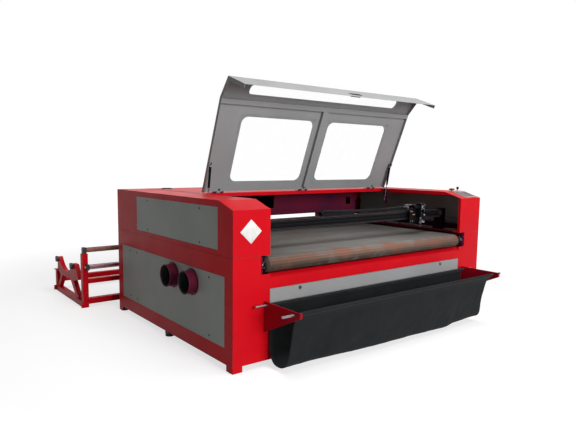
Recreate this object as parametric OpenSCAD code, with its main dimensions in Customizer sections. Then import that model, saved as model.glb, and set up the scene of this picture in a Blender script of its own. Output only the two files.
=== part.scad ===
// Carbon dioxide laser cutter with a conveyor bed, a roll feeder behind and a cloth trough in front.
// Millimetres. X runs to the machine's right, Y to the rear, Z up. The origin lies on the floor
// below the middle of the whole outline. The lid is drawn open, as it stands at rest.

/* [Cabinet] */
// Width over the side skins
cab_w = 2550; // [2400:10:3100]
// Depth from the front face to the rear face
cab_d = 1800; // [1750:10:2200]
// Height of the flat top plates
top_h = 1052; // [1052:1:1090]
// Height of the towers' front faces
front_h = 1000; // [980:1:1020]
// Depth of the sloped strip on the towers
chamfer_d = 160; // [130:5:190]
// Width of each side tower
tower_w = 278; // [270:2:330]
// Width of each front column beside the belt nose
column_w = 208; // [204:2:210]
// Height of the seam between the towers and the lower body
seam_h = 712; // [708:1:760]
// Thickness of the body sheet
sheet_t = 2; // [1.5:0.5:3]
// Width of the sheet feet at the corners
foot_w = 72; // [50:2:100]
// Height of the gap below the sheet between the feet
foot_h = 40; // [25:1:60]
// Width of the lip behind each grey panel
lip_w = 14; // [8:1:20]
// Gap round each grey panel
panel_gap = 2.5; // [1:0.5:4]
// Thickness of the grey panels
panel_t = 1.6; // [1:0.2:1.8]
// Height of the front panel's top edge
panel_top_h = 497; // [440:1:520]
// Height of the front panel's bottom edge
panel_low_h = 95; // [60:1:140]
// Depth of the front beam's sloped top
beam_slope_d = 30; // [20:1:32]
// Margin of the lower side panel from the front and rear faces
side_panel_margin = 92; // [70:1:140]
// Front edge of the upper side panel
upper_panel_y = 170; // [120:5:260]
// Length of the upper side panel
upper_panel_l = 1230; // [900:10:1500]

/* [Frame] */
// Width of the frame's square tube
tube_w = 50; // [40:2:50]
// Height of the upper frame rails
rail_h = 40; // [30:2:40]
// Wall of the frame tube
tube_t = 3; // [2:0.5:4]
// Thickness of the decks that carry the rails
deck_t = 4; // [3:0.5:6]
// Radius of the levelling pads
pad_r = 30; // [20:1:34]
// Height of the levelling pads
pad_h = 12; // [8:1:20]

/* [Conveyor] */
// Radius of the conveyor drums
drum_r = 47.5; // [42:0.5:48]
// Radius of the drum shafts
drum_shaft_r = 12.5; // [8:0.5:15]
// Width of the mesh belt
belt_w = 1990; // [1800:2:1990]
// How far the belt lies towards the left of the middle
belt_shift = 39; // [0:1:40]
// Thickness of the mesh belt
belt_t = 2.2; // [1.5:0.1:3]
// Distance of the front drum's axis behind the front face
drum_front_y = 30; // [28:1:34]
// Distance of the rear drum's axis from the rear face
drum_rear_gap = 60; // [56:1:90]
// Thickness of the conveyor side plates
side_plate_t = 8; // [5:1:8]

/* [Gantry] */
// Distance of the gantry beam's axis behind the front face, as it stands
gantry_y = 265; // [255:1:300]
// Height of the gantry beam
gantry_h = 75; // [60:1:80]
// Depth of the gantry beam
gantry_d = 60; // [50:1:64]
// Place of the laser head along the beam, from the middle
head_x = 690; // [-600:10:800]
// Radius of the lens tube
lens_r = 14; // [10:0.5:16]
// Height of the beam path that the mirrors share
optic_h = 932; // [928:1:936]
// Radius of the laser tube
laser_r = 40; // [30:1:42]
// Length of the laser tube's glass
laser_l = 1800; // [1200:10:1840]

/* [Lid] */
// Angle that the lid stands open
lid_open = 69; // [60:1:72]
// Distance of the hinge line behind the front face
hinge_y = 860; // [820:1:900]
// Height of the hinge line above the top plates
hinge_rise = 8; // [8:0.5:9]
// Distance that the closed lid's nose stands in front of the towers
lid_proud = 22; // [10:1:30]
// Height of the lid's front flange
flange_h = 214; // [150:1:230]
// Width of each large window
window_w = 690; // [500:10:760]
// Length of each large window
window_l = 508; // [300:4:520]
// Radius of the large windows' corners
window_r = 55; // [20:1:80]
// Thickness of the window panes
pane_t = 4; // [3:0.5:6]

/* [Trough] */
// Reach of the trough brackets in front of the columns
trough_reach = 345; // [300:5:420]
// Height of the trough rods
rod_h = 405; // [360:5:420]
// Radius of the trough rods
rod_r = 8; // [6:0.5:10]
// Thickness of the trough cloth with its hem
cloth_t = 3; // [2:0.5:4]

/* [Feeder] */
// Distance between the feeder's end frames, outside to outside
feeder_w = 3050; // [2900:10:3400]
// Gap between the cabinet and the feeder's near posts
feeder_gap = 210; // [180:5:400]
// Depth of the feeder, near posts to far posts
feeder_d = 850; // [780:10:1000]
// Height of the feeder's near posts
post_h = 480; // [440:5:560]
// Radius of the feeder's rollers
feed_r = 22; // [16:1:24]
// Radius of the cradle's bearing wheels
wheel_r = 28; // [24:1:32]

/* [Hidden] */
$fn = 48;
eps = 1;                                   // overshoot of a cutting tool
fit = 0.05;                                // radial clearance of a running fit
gap = 0.3;                                 // clearance of pieces that pass each other
red = [0.80, 0.06, 0.09];
grey = [0.58, 0.58, 0.57];
steel = [0.72, 0.73, 0.74];
dark = [0.12, 0.12, 0.13];

// Cabinet
half_w = cab_w / 2;
tower_x = half_w - tower_w;
column_x = half_w - column_w;
deck_top = seam_h + 1;
low_top = seam_h - 1;
slope = atan((top_h - front_h) / chamfer_d);
slope_l = chamfer_d / cos(slope);
chamfer_inner_y = (top_h - sheet_t - front_h + sheet_t / cos(slope)) / tan(slope);
beam_fold_h = panel_top_h + 68;
beam_back_h = beam_fold_h + 23;
beam_d = 62;                               // depth of the front beam's fold
seam_edge = 22;                            // width of the strip that wraps each front corner
low_panel_z = [foot_h + 100, foot_h + 550];
upper_panel_z = [deck_top + 29, top_h - 39];
rear_slot_z = [seam_h - 22, seam_h + 63];  // feed slot through the rear
plate_front_y = hinge_y + 8;               // front edge of the rear top plate
plate_lip = 28;                            // and its turned-down lip
tray_y = 1200;                             // wall in front of the laser tube
tray_h = seam_h + 104;                     // shelf below the laser tube
bay_y = tray_y - 20;                       // rear end of the bay that the gantry runs in

// Frame
leg_x = [half_w - 7 - tube_w, half_w - 7];
rail_top = deck_top - deck_t;
rail_low = rail_top - rail_h;
inner_x = [column_x - 7, column_x - 7 + tube_w];
plate_x = inner_x[0] - side_plate_t;       // inner face of the conveyor side plates
leg_y = [13 + tube_w / 2, cab_d / 2, cab_d - 13 - tube_w / 2];
post_y = [120, cab_d - 120];               // inner legs
sill_z = [60, 60 + tube_w];                // lowest frame rails
pan_t = 2;

// Conveyor
belt_top = seam_h - 12;
drum_z = belt_top - belt_t - gap - drum_r;
belt_in_r = drum_r + gap;
belt_out_r = belt_in_r + belt_t;
drum_rear_y = cab_d - drum_rear_gap;
drum_w = belt_w + 20;
bearing_t = 16;
cross_z = [drum_z - belt_out_r - 60, drum_z - belt_out_r - 10];
duct_y = [500, 775];
duct_z = 486;
duct_r = 78;
duct_reach = 62;

// Gantry
beam_z = [825, 825 + gantry_h];
beam_y = [gantry_y - gantry_d / 2, gantry_y + gantry_d / 2];
beam_x = inner_x[1] + 15;
track_x = (inner_x[0] + inner_x[1]) / 2;   // linear rails along Y
track_w = 20;
block_top = deck_top + 30;
drive_x = track_x + 65;                    // belts along Y
drive_z = deck_top + 87;
pulley_r = 19;
sync_y = cab_d - 100;
idler_y = 70;
x_pulley_r = 21;
x_pulley_x = tower_x + 43;
x_axis_z = (beam_z[0] + beam_z[1]) / 2;
x_rail_h = 15;
x_rail_d = 12;
belt_y = [beam_y[0] - 14, beam_y[0] - 3];
timing_t = 2;
head_y = beam_y[0] - 65;
chain_y = [gantry_y - 15, gantry_y + 25];
chain_r = 21;
chain_link_h = 17;
chain_end_x = -317;
carriage_y = [beam_y[0] - 38, beam_y[0] - 32];
carriage_w = 200;
stub_l = 90;                               // beam tube on the head, from the lens axis
laser_y = 1500;
holder_x = 600;

// Lid, worked out as if it were shut
hinge_z = top_h + hinge_rise;
hinge_r = 7;
pin_r = 3;
lid_top = top_h + 4;
lid_rear_y = hinge_y - 8;
lid_nose_y = -lid_proud;
lid_kink_y = lid_nose_y + slope_l * cos(slope);
lid_nose_h = lid_top - (lid_kink_y - lid_nose_y) * tan(slope);
lid_half = tower_x - 4;
skirt_h = 28;
window_rear_y = hinge_y - 90;
window_gap = 164;
slot_window = [1552, 76];                  // narrow window in the sloped strip
rib_h = 25;
handle_x = 85;
hinge_xs = [-845, 0, 845];
strut_x = tower_x - 20;
strut_lid = [hinge_y - 240, top_h - 18];   // upper pivot with the lid shut
strut_low = [805, top_h - 122];            // lower pivot on the body
strut_r = 9;
strut_rod_r = 4;
strut_tube_l = 165;
rel_y = strut_lid[0] - hinge_y;
rel_z = strut_lid[1] - hinge_z;
strut_top = [hinge_y + rel_y * cos(lid_open) + rel_z * sin(lid_open),
             hinge_z - rel_y * sin(lid_open) + rel_z * cos(lid_open)];
strut_l = norm(strut_low - strut_top);
strut_turn = atan2(strut_low[1] - strut_top[1], strut_low[0] - strut_top[0]);

// Trough
bracket_x = half_w - 235;
bracket_t = 6;
bracket_drop = 179;
bracket_tip_h = 33;
rod_y = [-trough_reach + 50, -31];
rod_end_x = bracket_x + 92;
hem_r = rod_r + 0.4 + cloth_t;
hem_mid = hem_r - cloth_t / 2;
cloth_back_y = rod_y[1] + hem_mid * cos(40);
cloth_half = 1010;
// Middle of the cloth's thickness from the rear hem to the front hem
cloth_path = [[cloth_back_y, rod_h - hem_mid * sin(40)], [cloth_back_y, 150], [cloth_back_y - 4, 84],
              [cloth_back_y - 18, 50], [-68, 30], [-108, 24], [-148, 31], [-178, 53],
              [-199, 92], [-214, 150], [-229, 222], [-243, 290], [-258, 345],
              [rod_y[0] + hem_mid * cos(58), rod_h - hem_mid * sin(58)]];

// Feeder
feeder_y = cab_d + feeder_gap;
feeder_far = feeder_y + feeder_d;
feeder_x = feeder_w / 2;
cradle_y = feeder_y + 525;                 // middle of the saddle that the roll's shaft lies in
cradle_r = 257;
cradle_z = 500;
horn_h = 352;
horn_y = [cradle_y - 385, feeder_far - 60];
wheel_t = 18;
wheel_dy = 228;
wheel_z = 330;
feed_upper = [feeder_y + tube_w / 2, post_h + 31];
feed_lower = [feeder_y - 25, post_h - 114];
feed_shaft_r = 8;
mid_y = (feeder_far - trough_reach) / 2;   // middle of the whole outline

// Helpers
module machine() {
    translate([0, -mid_y, 0]) children();
}
module block(low, high) {
    translate(low) cube(high - low);
}
module both() {
    children();
    mirror([1, 0, 0]) children();
}
module along_x(x0, x1) {
    translate([x0, 0, 0]) rotate([90, 0, 90]) linear_extrude(x1 - x0) children();
}
module rod_x(x0, x1, y, z, r) {
    translate([x0, y, z]) rotate([0, 90, 0]) cylinder(r = r, h = x1 - x0);
}
// Eight-sided hole along X, r is half its width across flats
module octagon_x(x0, x1, y, z, r) {
    translate([x0, y, z]) rotate([90, 0, 90]) linear_extrude(x1 - x0)
        polygon([for (i = [0:7]) r / cos(22.5) * [cos(45 * i + 22.5), sin(45 * i + 22.5)]]);
}
module rod_y(y0, y1, x, z, r) {
    translate([x, y0, z]) rotate([-90, 0, 0]) cylinder(r = r, h = y1 - y0);
}
module rod_z(z0, z1, x, y, r) {
    translate([x, y, z0]) cylinder(r = r, h = z1 - z0);
}
// Square tube between two corners, open along the axis 0, 1 or 2
module hollow(low, high, axis, wall = tube_t) {
    step = [for (i = [0:2]) i == axis ? -eps : wall];
    difference() {
        block(low, high);
        block(low + step, high - step);
    }
}
// Flat ring of sheet round an opening in a wall that faces X
module lip_x(x0, x1, y, z) {
    difference() {
        block([x0, y[0] - lip_w, z[0] - lip_w], [x1, y[1] + lip_w, z[1] + lip_w]);
        block([x0 - eps, y[0] + lip_w, z[0] + lip_w], [x1 + eps, y[1] - lip_w, z[1] - lip_w]);
    }
}
// Closed belt round two equal pulleys, in the YZ plane
module belt_loop_yz(x, a, b, r) {
    along = b - a;
    turn = atan2(along[1], along[0]);
    difference() {
        along_x(x[0], x[1]) stadium(a, norm(along), turn, r + timing_t);
        along_x(x[0] - eps, x[1] + eps) stadium(a, norm(along), turn, r);
    }
}
module stadium(a, l, turn, r) {
    translate(a) rotate(turn) {
        circle(r);
        translate([l, 0]) circle(r);
        translate([0, -r]) square([l, 2 * r]);
    }
}
module rounded(size, r) {
    square([size[0] - 2 * r, size[1]], center = true);
    square([size[0], size[1] - 2 * r], center = true);
    for (x = [-1, 1], y = [-1, 1])
        translate([x * (size[0] / 2 - r), y * (size[1] / 2 - r)]) circle(r);
}
// Frame of the sloped strip: x across, y up the slope, z out of it
module on_slope() {
    translate([tower_x + tower_w / 2, 0, front_h]) rotate([slope, 0, 0]) children();
}
// Turns what is drawn shut about the hinge line until the lid stands open
module lid_pose() {
    translate([0, hinge_y, hinge_z]) rotate([-lid_open, 0, 0]) translate([0, -hinge_y, -hinge_z])
        children();
}

// Cabinet
module base_frame() machine() color(dark) {
    both() {
        for (y = leg_y)
            hollow([leg_x[0], y - tube_w / 2, pad_h], [leg_x[1], y + tube_w / 2, rail_low], 2);
        hollow([leg_x[0], 13, rail_low], [leg_x[1], cab_d - 13, rail_top], 1);
        hollow([inner_x[0], 13, rail_low], [inner_x[1], cab_d - 13, rail_top], 1);
        for (i = [0:1])
            hollow([leg_x[0], leg_y[i] + tube_w / 2, sill_z[0]],
                   [leg_x[1], leg_y[i + 1] - tube_w / 2, sill_z[1]], 1);
        for (y = post_y) {
            hollow([inner_x[0], y - tube_w / 2, sill_z[1]], [inner_x[1], y + tube_w / 2, rail_low], 2);
            hollow([inner_x[1], y - tube_w / 2, rail_low], [leg_x[0], y + tube_w / 2, rail_top], 0);
        }
        block([inner_x[0], sheet_t, rail_top], [half_w - sheet_t, cab_d - sheet_t, deck_top]);
    }
    for (y = post_y) {
        hollow([-leg_x[0], y - tube_w / 2, sill_z[0]], [leg_x[0], y + tube_w / 2, sill_z[1]], 0);
        hollow([-inner_x[0], y - tube_w / 2, cross_z[0]], [inner_x[0], y + tube_w / 2, cross_z[1]], 0);
    }
    block([-inner_x[0] + 5, post_y[0], sill_z[1]], [inner_x[0] - 5, post_y[1], sill_z[1] + pan_t]);
}
module foot_pads() machine() color(dark) both()
    for (y = leg_y) rod_z(0, pad_h, (leg_x[0] + leg_x[1]) / 2, y, pad_r);

module tower_outline() {
    polygon([[0, deck_top], [0, front_h], [chamfer_d, top_h], [cab_d, top_h], [cab_d, deck_top]]);
}
module tower_hollow() {
    polygon([[sheet_t, 0], [sheet_t, front_h + sheet_t * tan(slope) - sheet_t / cos(slope)],
             [chamfer_inner_y, top_h - sheet_t], [cab_d - sheet_t, top_h - sheet_t],
             [cab_d - sheet_t, 0]]);
}
module tower() {
    panel_y = [upper_panel_y, upper_panel_y + upper_panel_l];
    difference() {
        along_x(tower_x, half_w) tower_outline();
        along_x(tower_x + sheet_t, half_w - sheet_t) tower_hollow();
        block([tower_x - eps, seam_edge, deck_top + 14],
              [tower_x + sheet_t + eps, bay_y, top_h - 30]);
        block([half_w - sheet_t - eps, panel_y[0], upper_panel_z[0]],
              [half_w + eps, panel_y[1], upper_panel_z[1]]);
        rod_x(tower_x - eps, tower_x + sheet_t + eps, laser_y, optic_h, 22);
        rod_x(tower_x - eps, tower_x + sheet_t + eps, sync_y, drive_z, 16);
        block([half_w - seam_edge - 1, -eps, 0], [half_w - seam_edge, sheet_t / 2, front_h + eps]);
    }
    lip_x(half_w - 2 * sheet_t, half_w - sheet_t, panel_y, upper_panel_z);
    block([tower_x, 0, deck_top], [inner_x[0] - 3, cab_d, deck_top + sheet_t]);
}
module tower_left() machine() color(red) mirror([1, 0, 0]) tower();
module tower_right() machine() color(red) tower();

module side_skin() {
    panel_y = [side_panel_margin, cab_d - side_panel_margin];
    notch_z = drum_z - belt_out_r - 6;
    difference() {
        union() {
            along_x(half_w - sheet_t, half_w)
                polygon([[0, 2], [foot_w, 2], [foot_w, foot_h], [cab_d - foot_w, foot_h],
                         [cab_d - foot_w, 2], [cab_d, 2], [cab_d, low_top], [0, low_top]]);
            block([tower_x, 0, foot_h], [half_w, sheet_t, low_top]);
            block([half_w - foot_w, 0, 2], [half_w, sheet_t, foot_h]);
            block([tower_x, 0, foot_h], [tower_x + sheet_t, 40, notch_z]);
        }
        block([tower_x - eps, -eps, notch_z], [column_x, sheet_t + eps, seam_h]);
        block([half_w - sheet_t - eps, panel_y[0], low_panel_z[0]],
              [half_w + eps, panel_y[1], low_panel_z[1]]);
        block([half_w - seam_edge - 1, -eps, foot_h], [half_w - seam_edge, sheet_t / 2, seam_h]);
    }
    lip_x(half_w - 2 * sheet_t, half_w - sheet_t, panel_y, low_panel_z);
}
module side_left() machine() color(red) mirror([1, 0, 0]) side_skin();
module side_right() machine() color(red) side_skin();

module front_rails() machine() color(red) {
    t = sheet_t;
    along_x(-tower_x, tower_x) {
        polygon([[0, panel_top_h + panel_gap], [0, beam_fold_h], [beam_slope_d, beam_back_h],
                 [beam_d, beam_back_h], [beam_d, beam_back_h - 30], [beam_d - t, beam_back_h - 30],
                 [beam_d - t, beam_back_h - t], [beam_slope_d + t / 2, beam_back_h - t],
                 [t, beam_fold_h - t / 2], [t, panel_top_h + panel_gap]]);
        polygon([[0, foot_h], [0, panel_low_h], [40, panel_low_h], [40, panel_low_h - t],
                 [t, panel_low_h - t], [t, foot_h]]);
    }
}
lock_x = tower_x - 248;
lock_z = panel_top_h - 20;
lock_r = 8.5;
module front_panel() machine() color(grey) difference() {
    x = tower_x - panel_gap;
    union() {
        block([-x, 0.4, panel_low_h], [x, 0.4 + panel_t, panel_top_h]);
        for (s = [-1, 1])
            translate([s * (x - panel_t / 2), 0, 0])
                block([-panel_t / 2, 0.4, panel_low_h], [panel_t / 2, 18, panel_top_h - 40]);
        block([-x, 0.4, panel_low_h], [x, 18, panel_low_h + panel_t]);
    }
    for (s = [-1, 1]) rod_y(-eps, 4, s * lock_x, lock_z, lock_r + 0.5);
}

module rear_sheet() machine() color(red) {
    x = half_w - sheet_t;
    opening_x = tower_x - 47;
    y = [cab_d - sheet_t, cab_d];
    difference() {
        union() {
            block([-x, y[0], foot_h], [x, y[1], rear_slot_z[0]]);
            both() {
                block([tower_x, y[0], foot_h], [x, y[1], low_top]);
                block([half_w - foot_w, y[0], 2], [x, y[1], foot_h + eps]);
            }
        }
        block([-opening_x, y[0] - eps, low_panel_z[0]], [opening_x, y[1] + eps, low_panel_z[1]]);
    }
    difference() {
        block([-opening_x - lip_w, y[0] - sheet_t, low_panel_z[0] - lip_w],
              [opening_x + lip_w, y[0], low_panel_z[1] + lip_w]);
        block([-opening_x + lip_w, y[0] - 9, low_panel_z[0] + lip_w],
              [opening_x - lip_w, y[1], low_panel_z[1] - lip_w]);
    }
}
module rear_panels() machine() color(grey) {
    x = tower_x - 47 - panel_gap;
    y = cab_d - sheet_t;
    louvre_n = 9;
    difference() {
        block([-x, y, low_panel_z[0] + panel_gap], [x, y + panel_t, low_panel_z[1] - panel_gap]);
        for (s = [-1, 1], i = [0:louvre_n - 1])
            translate([s * x * 0.6, y, low_panel_z[0] + 90 + 26 * i])
                block([-110, -eps, 0], [110, panel_t + eps, 8]);
    }
    block([-tower_x, y, rear_slot_z[1]], [tower_x, cab_d, top_h - 12]);
}
module rear_top_plate() machine() color(red) difference() {
    t = sheet_t;
    along_x(-tower_x, tower_x)
        polygon([[plate_front_y, top_h - plate_lip], [plate_front_y, top_h], [cab_d, top_h],
                 [cab_d, top_h - 12], [cab_d - t, top_h - 12], [cab_d - t, top_h - t],
                 [plate_front_y + t, top_h - t], [plate_front_y + t, top_h - plate_lip]]);
    rod_z(top_h - 9, top_h + eps, -tower_x + 122, cab_d - 130, 38);
}
module tube_tray() machine() color(red) difference() {
    t = sheet_t;
    along_x(-tower_x, tower_x)
        polygon([[tray_y, tray_h], [tray_y, top_h - t], [tray_y + t, top_h - t],
                 [tray_y + t, tray_h + t], [cab_d - t, tray_h + t], [cab_d - t, tray_h]]);
    for (w = [[-290, -45, 65, 177], [865, 925, 69, 137], [-925, -865, 69, 137]])
        block([w[0], tray_y - eps, tray_h + w[2]], [w[1], tray_y + t + eps, tray_h + w[3]]);
}

module side_panel(y, z) {
    g = panel_gap;
    block([half_w - sheet_t, y[0] + g, z[0] + g], [half_w - sheet_t + panel_t, y[1] - g, z[1] - g]);
}
module side_panels() machine() color(grey) {
    both() side_panel([upper_panel_y, upper_panel_y + upper_panel_l], upper_panel_z);
    side_panel([side_panel_margin, cab_d - side_panel_margin], low_panel_z);
    difference() {
        mirror([1, 0, 0]) side_panel([side_panel_margin, cab_d - side_panel_margin], low_panel_z);
        for (y = duct_y) octagon_x(-half_w - eps, -half_w + 9, y, duct_z, duct_r + 1);
    }
}
// Dome-headed screws, their heads on the panels and their shanks left out
module panel_screws() machine() color(dark) both() {
    face = half_w - sheet_t + panel_t;
    for (y = [upper_panel_y + 226, upper_panel_y + 1025], z = upper_panel_z)
        rod_x(face, face + 3, y, z + (z > 900 ? -25 : 25), 6);
    for (y = [277, 1408, 1546], z = [low_panel_z[1] - 35, low_panel_z[0] + 35])
        rod_x(face, face + 3, y, z, 7);
}

// Controls
estop_at = [half_w - 130, chamfer_d + 34];
key_at = [half_w - 72, chamfer_d + 16];
module control_panel() machine() color([0.75, 0.72, 0.66]) on_slope() difference() {
    block([-tower_w / 2 + 88, 18, 0], [tower_w / 2 - 24, slope_l - 14, 4]);
    block([-tower_w / 2 + 100, 30, 2], [tower_w / 2 - 36, slope_l - 26, 9]);
}
module ring_z(at, z0, z1, r, bore) difference() {
    rod_z(z0, z1, at[0], at[1], r);
    rod_z(z0 - eps, z1 + eps, at[0], at[1], bore);
}
module switch_rings() machine() {
    color("gold") ring_z(estop_at, top_h, top_h + 4, 20, 8 + fit);
    color(steel) ring_z(key_at, top_h, top_h + 6, 13, 7 + fit);
    color(dark) ring_z([-tower_x + 122, cab_d - 130], top_h, top_h + 4, 46, 34);
    color(steel) for (s = [-1, 1]) difference() {
        rod_y(-2, 0.4, s * lock_x, lock_z, 14);
        rod_y(-3, eps, s * lock_x, lock_z, lock_r + fit);
    }
}
module estop_button() machine() color([0.35, 0.08, 0.06]) {
    rod_z(top_h + 4.5, top_h + 9, estop_at[0], estop_at[1], 8);
    translate([estop_at[0], estop_at[1], top_h + 9]) rotate_extrude()
        polygon([[0, 0], [20, 0], [24, 4], [24, 8], [20, 12], [12, 14], [0, 14.5]]);
}
module key_switch() machine() color(steel) {
    rod_z(top_h + 0.5, top_h + 12, key_at[0], key_at[1], 7);
    block([key_at[0] - 1.5, key_at[1] - 4, top_h + 12], [key_at[0] + 1.5, key_at[1] + 4, top_h + 17]);
    translate([key_at[0] - 1.5, key_at[1], top_h + 26]) rotate([0, 90, 0]) cylinder(r = 11, h = 3);
}
module lock(side) machine() color(dark) {
    x = side * lock_x;
    rod_y(-4, 6, x, lock_z, lock_r);
    block([x - 6, 6, lock_z - 9], [x + 6, 9, lock_z + 34]);
}
module lock_left() lock(-1);
module lock_right() lock(1);

// Exhaust
module exhaust_box() machine() color(steel) difference() {
    x = inner_x[0] - 50;
    y = [post_y[0] + tube_w / 2, post_y[1] - tube_w / 2];
    z = [duct_z - 106, cross_z[1]];
    block([-x, y[0], z[0]], [x, y[1], z[1]]);
    block([-x + sheet_t, y[0] + sheet_t, z[0] + sheet_t], [x - sheet_t, y[1] - sheet_t, z[1] + eps]);
    for (yy = duct_y) octagon_x(-x - eps, -x + 9, yy, duct_z, duct_r - 2);
}
// Each duct is a spigot with its tube, and a loose ring that covers the hole in the side panel
module exhaust_ducts() machine() color(red) for (y = duct_y)
    translate([-half_w - duct_reach, y, duct_z]) rotate([0, 90, 0]) {
        skin = duct_reach + sheet_t - panel_t;
        inner_end = half_w + duct_reach - inner_x[0] + 50;
        rotate_extrude()
            polygon([[duct_r - 2, 0], [duct_r, 0], [duct_r, skin - 3], [duct_r - 1, skin - 3],
                     [duct_r - 1, inner_end], [duct_r - 2, inner_end]]);
        rotate_extrude() translate([duct_r - 1 + fit, skin - 3]) square([15 - fit, 3]);
    }

// Laser source and electronics
module laser_tube() machine() color([0.75, 0.85, 0.9]) {
    l = laser_l / 2;
    translate([-l, laser_y, optic_h]) rotate([0, 90, 0]) rotate_extrude()
        polygon([[0, -28], [20, -28], [20, 0], [laser_r - 12, 0], [laser_r, 14],
                 [laser_r, 2 * l - 14], [laser_r - 12, 2 * l], [20, 2 * l], [20, 2 * l + 28],
                 [0, 2 * l + 28]]);
}
module tube_mounts() machine() color(dark) {
    both() difference() {
        block([holder_x - 12, laser_y - laser_r - 12, tray_h + sheet_t],
              [holder_x + 12, laser_y + laser_r + 12, optic_h + laser_r + 8]);
        rod_x(holder_x - 20, holder_x + 20, laser_y, optic_h, laser_r + gap);
    }
    block([-track_x - 20, laser_y - 20, deck_top], [-track_x + 20, laser_y + 20, optic_h - 26]);
    translate([-track_x, laser_y, optic_h]) rotate([0, 0, 45])
        block([-26, -6, -27], [26, 6, 27]);
}
module electronics() machine() color(steel) {
    z = sill_z[1] + pan_t;
    block([250, 300, z], [650, 520, z + 170]);
    block([-650, 300, z], [-250, 600, z + 120]);
    rod_x(-100, 150, 900, z + 75, 75);
}

// Conveyor
module conveyor_plates() machine() color(dark) both() difference() {
    block([plate_x, 4, drum_z - 60], [inner_x[0], cab_d - 4, belt_top + 5]);
    for (y = [drum_front_y, drum_rear_y])
        rod_x(plate_x - eps, inner_x[0] + eps, y, drum_z, drum_shaft_r + 1);
}
module bed_frame() machine() color(steel) {
    top = belt_top - belt_t - gap;
    y = [drum_front_y + drum_r + 12, drum_rear_y - drum_r - 12];
    bar_n = 6;
    block([-plate_x, y[0], top - 3], [plate_x, y[1], top]);
    for (i = [0:bar_n - 1])
        translate([0, y[0] + 20 + (y[1] - y[0] - 40 - 30) * i / (bar_n - 1), top - 33])
            block([-plate_x, 0, 0], [plate_x, 30, 30]);
}
module mesh_belt() machine() color([0.35, 0.35, 0.34]) difference() {
    l = drum_rear_y - drum_front_y;
    x = [-belt_shift - belt_w / 2, belt_w / 2 - belt_shift];
    along_x(x[0], x[1]) stadium([drum_front_y, drum_z], l, 0, belt_out_r);
    along_x(-belt_w, belt_w) stadium([drum_front_y, drum_z], l, 0, belt_in_r);
}
module drum(y, right_end) {
    l = drum_w / 2;
    left_end = inner_x[0] + bearing_t;
    rod_x(-belt_shift - l, l - belt_shift, y, drum_z, drum_r);
    rod_x(-left_end, right_end, y, drum_z, drum_shaft_r);
}
module roller_front() machine() color(steel) drum(drum_front_y, inner_x[0] + bearing_t);
module roller_rear() machine() color(steel) drum(drum_rear_y, inner_x[1] + 14);
module bearing_x(x0, x1, y, z, half, bore) difference() {
    block([x0, y - half[0], z - half[1]], [x1, y + half[0], z + half[1]]);
    rod_x(x0 - eps, x1 + eps, y, z, bore + fit);
}
module bearing_blocks() machine() color(steel) both() {
    for (y = [drum_front_y, drum_rear_y])
        bearing_x(inner_x[0], inner_x[0] + bearing_t, y, drum_z, [drum_front_y - 6, 16], drum_shaft_r);
    difference() {
        block([track_x + 15, sync_y - 20, deck_top], [track_x + 35, sync_y + 20, drive_z + 25]);
        rod_x(track_x, track_x + 50, sync_y, drive_z, 10 + fit);
    }
    block([drive_x + 10, idler_y - 20, deck_top], [drive_x + 18, idler_y + 20, drive_z + 25]);
    rod_x(drive_x - 10, drive_x + 10, idler_y, drive_z, 4);
    difference() {
        block([feeder_x - 40, feed_upper[0] - 23, post_h], [feeder_x - 10, feed_upper[0] + 23, post_h + 55]);
        rod_x(feeder_x - 50, feeder_x, feed_upper[0], feed_upper[1], feed_shaft_r + fit);
    }
    difference() {
        block([feeder_x - 45, feeder_y - 50, feed_lower[1] - 26],
              [feeder_x - 25, feeder_y, feed_lower[1] + 26]);
        rod_x(feeder_x - 50, feeder_x, feed_lower[0], feed_lower[1], feed_shaft_r + fit);
    }
}
module drive_motors() machine() color(dark) {
    motor = [inner_x[1] + 15, leg_x[0]];
    rod_x(motor[0], motor[1] - 8, drum_rear_y, drum_z, 33);
    block([motor[1] - 8, drum_rear_y - 3, drum_z - 30], [motor[1], drum_rear_y + 35, drum_z + 10]);
    block([drive_x + 26, sync_y - 35, deck_top], [drive_x + 30, sync_y + 35, drive_z + 40]);
    translate([drive_x + 30, sync_y, drive_z]) block([0, -28.5, -28.5], [60, 28.5, 28.5]);
}

// Motion along Y
module y_rails() machine() color(steel) both()
    block([track_x - track_w / 2, 60, deck_top], [track_x + track_w / 2, tray_y + 90, deck_top + 20]);
module y_belts() machine() color(dark) both()
    belt_loop_yz([drive_x - 6, drive_x + 6], [idler_y, drive_z], [sync_y, drive_z], pulley_r + gap);
module sync_shaft() machine() color(steel) {
    rod_x(-drive_x - 15, drive_x + 25, sync_y, drive_z, 10);
    both() rod_x(drive_x - 7, drive_x + 7, sync_y, drive_z, pulley_r);
}
module y_idlers() machine() color(steel) both() difference() {
    rod_x(drive_x - 7, drive_x + 7, idler_y, drive_z, pulley_r);
    rod_x(drive_x - 12, drive_x + 12, idler_y, drive_z, 4 + fit);
}

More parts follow.
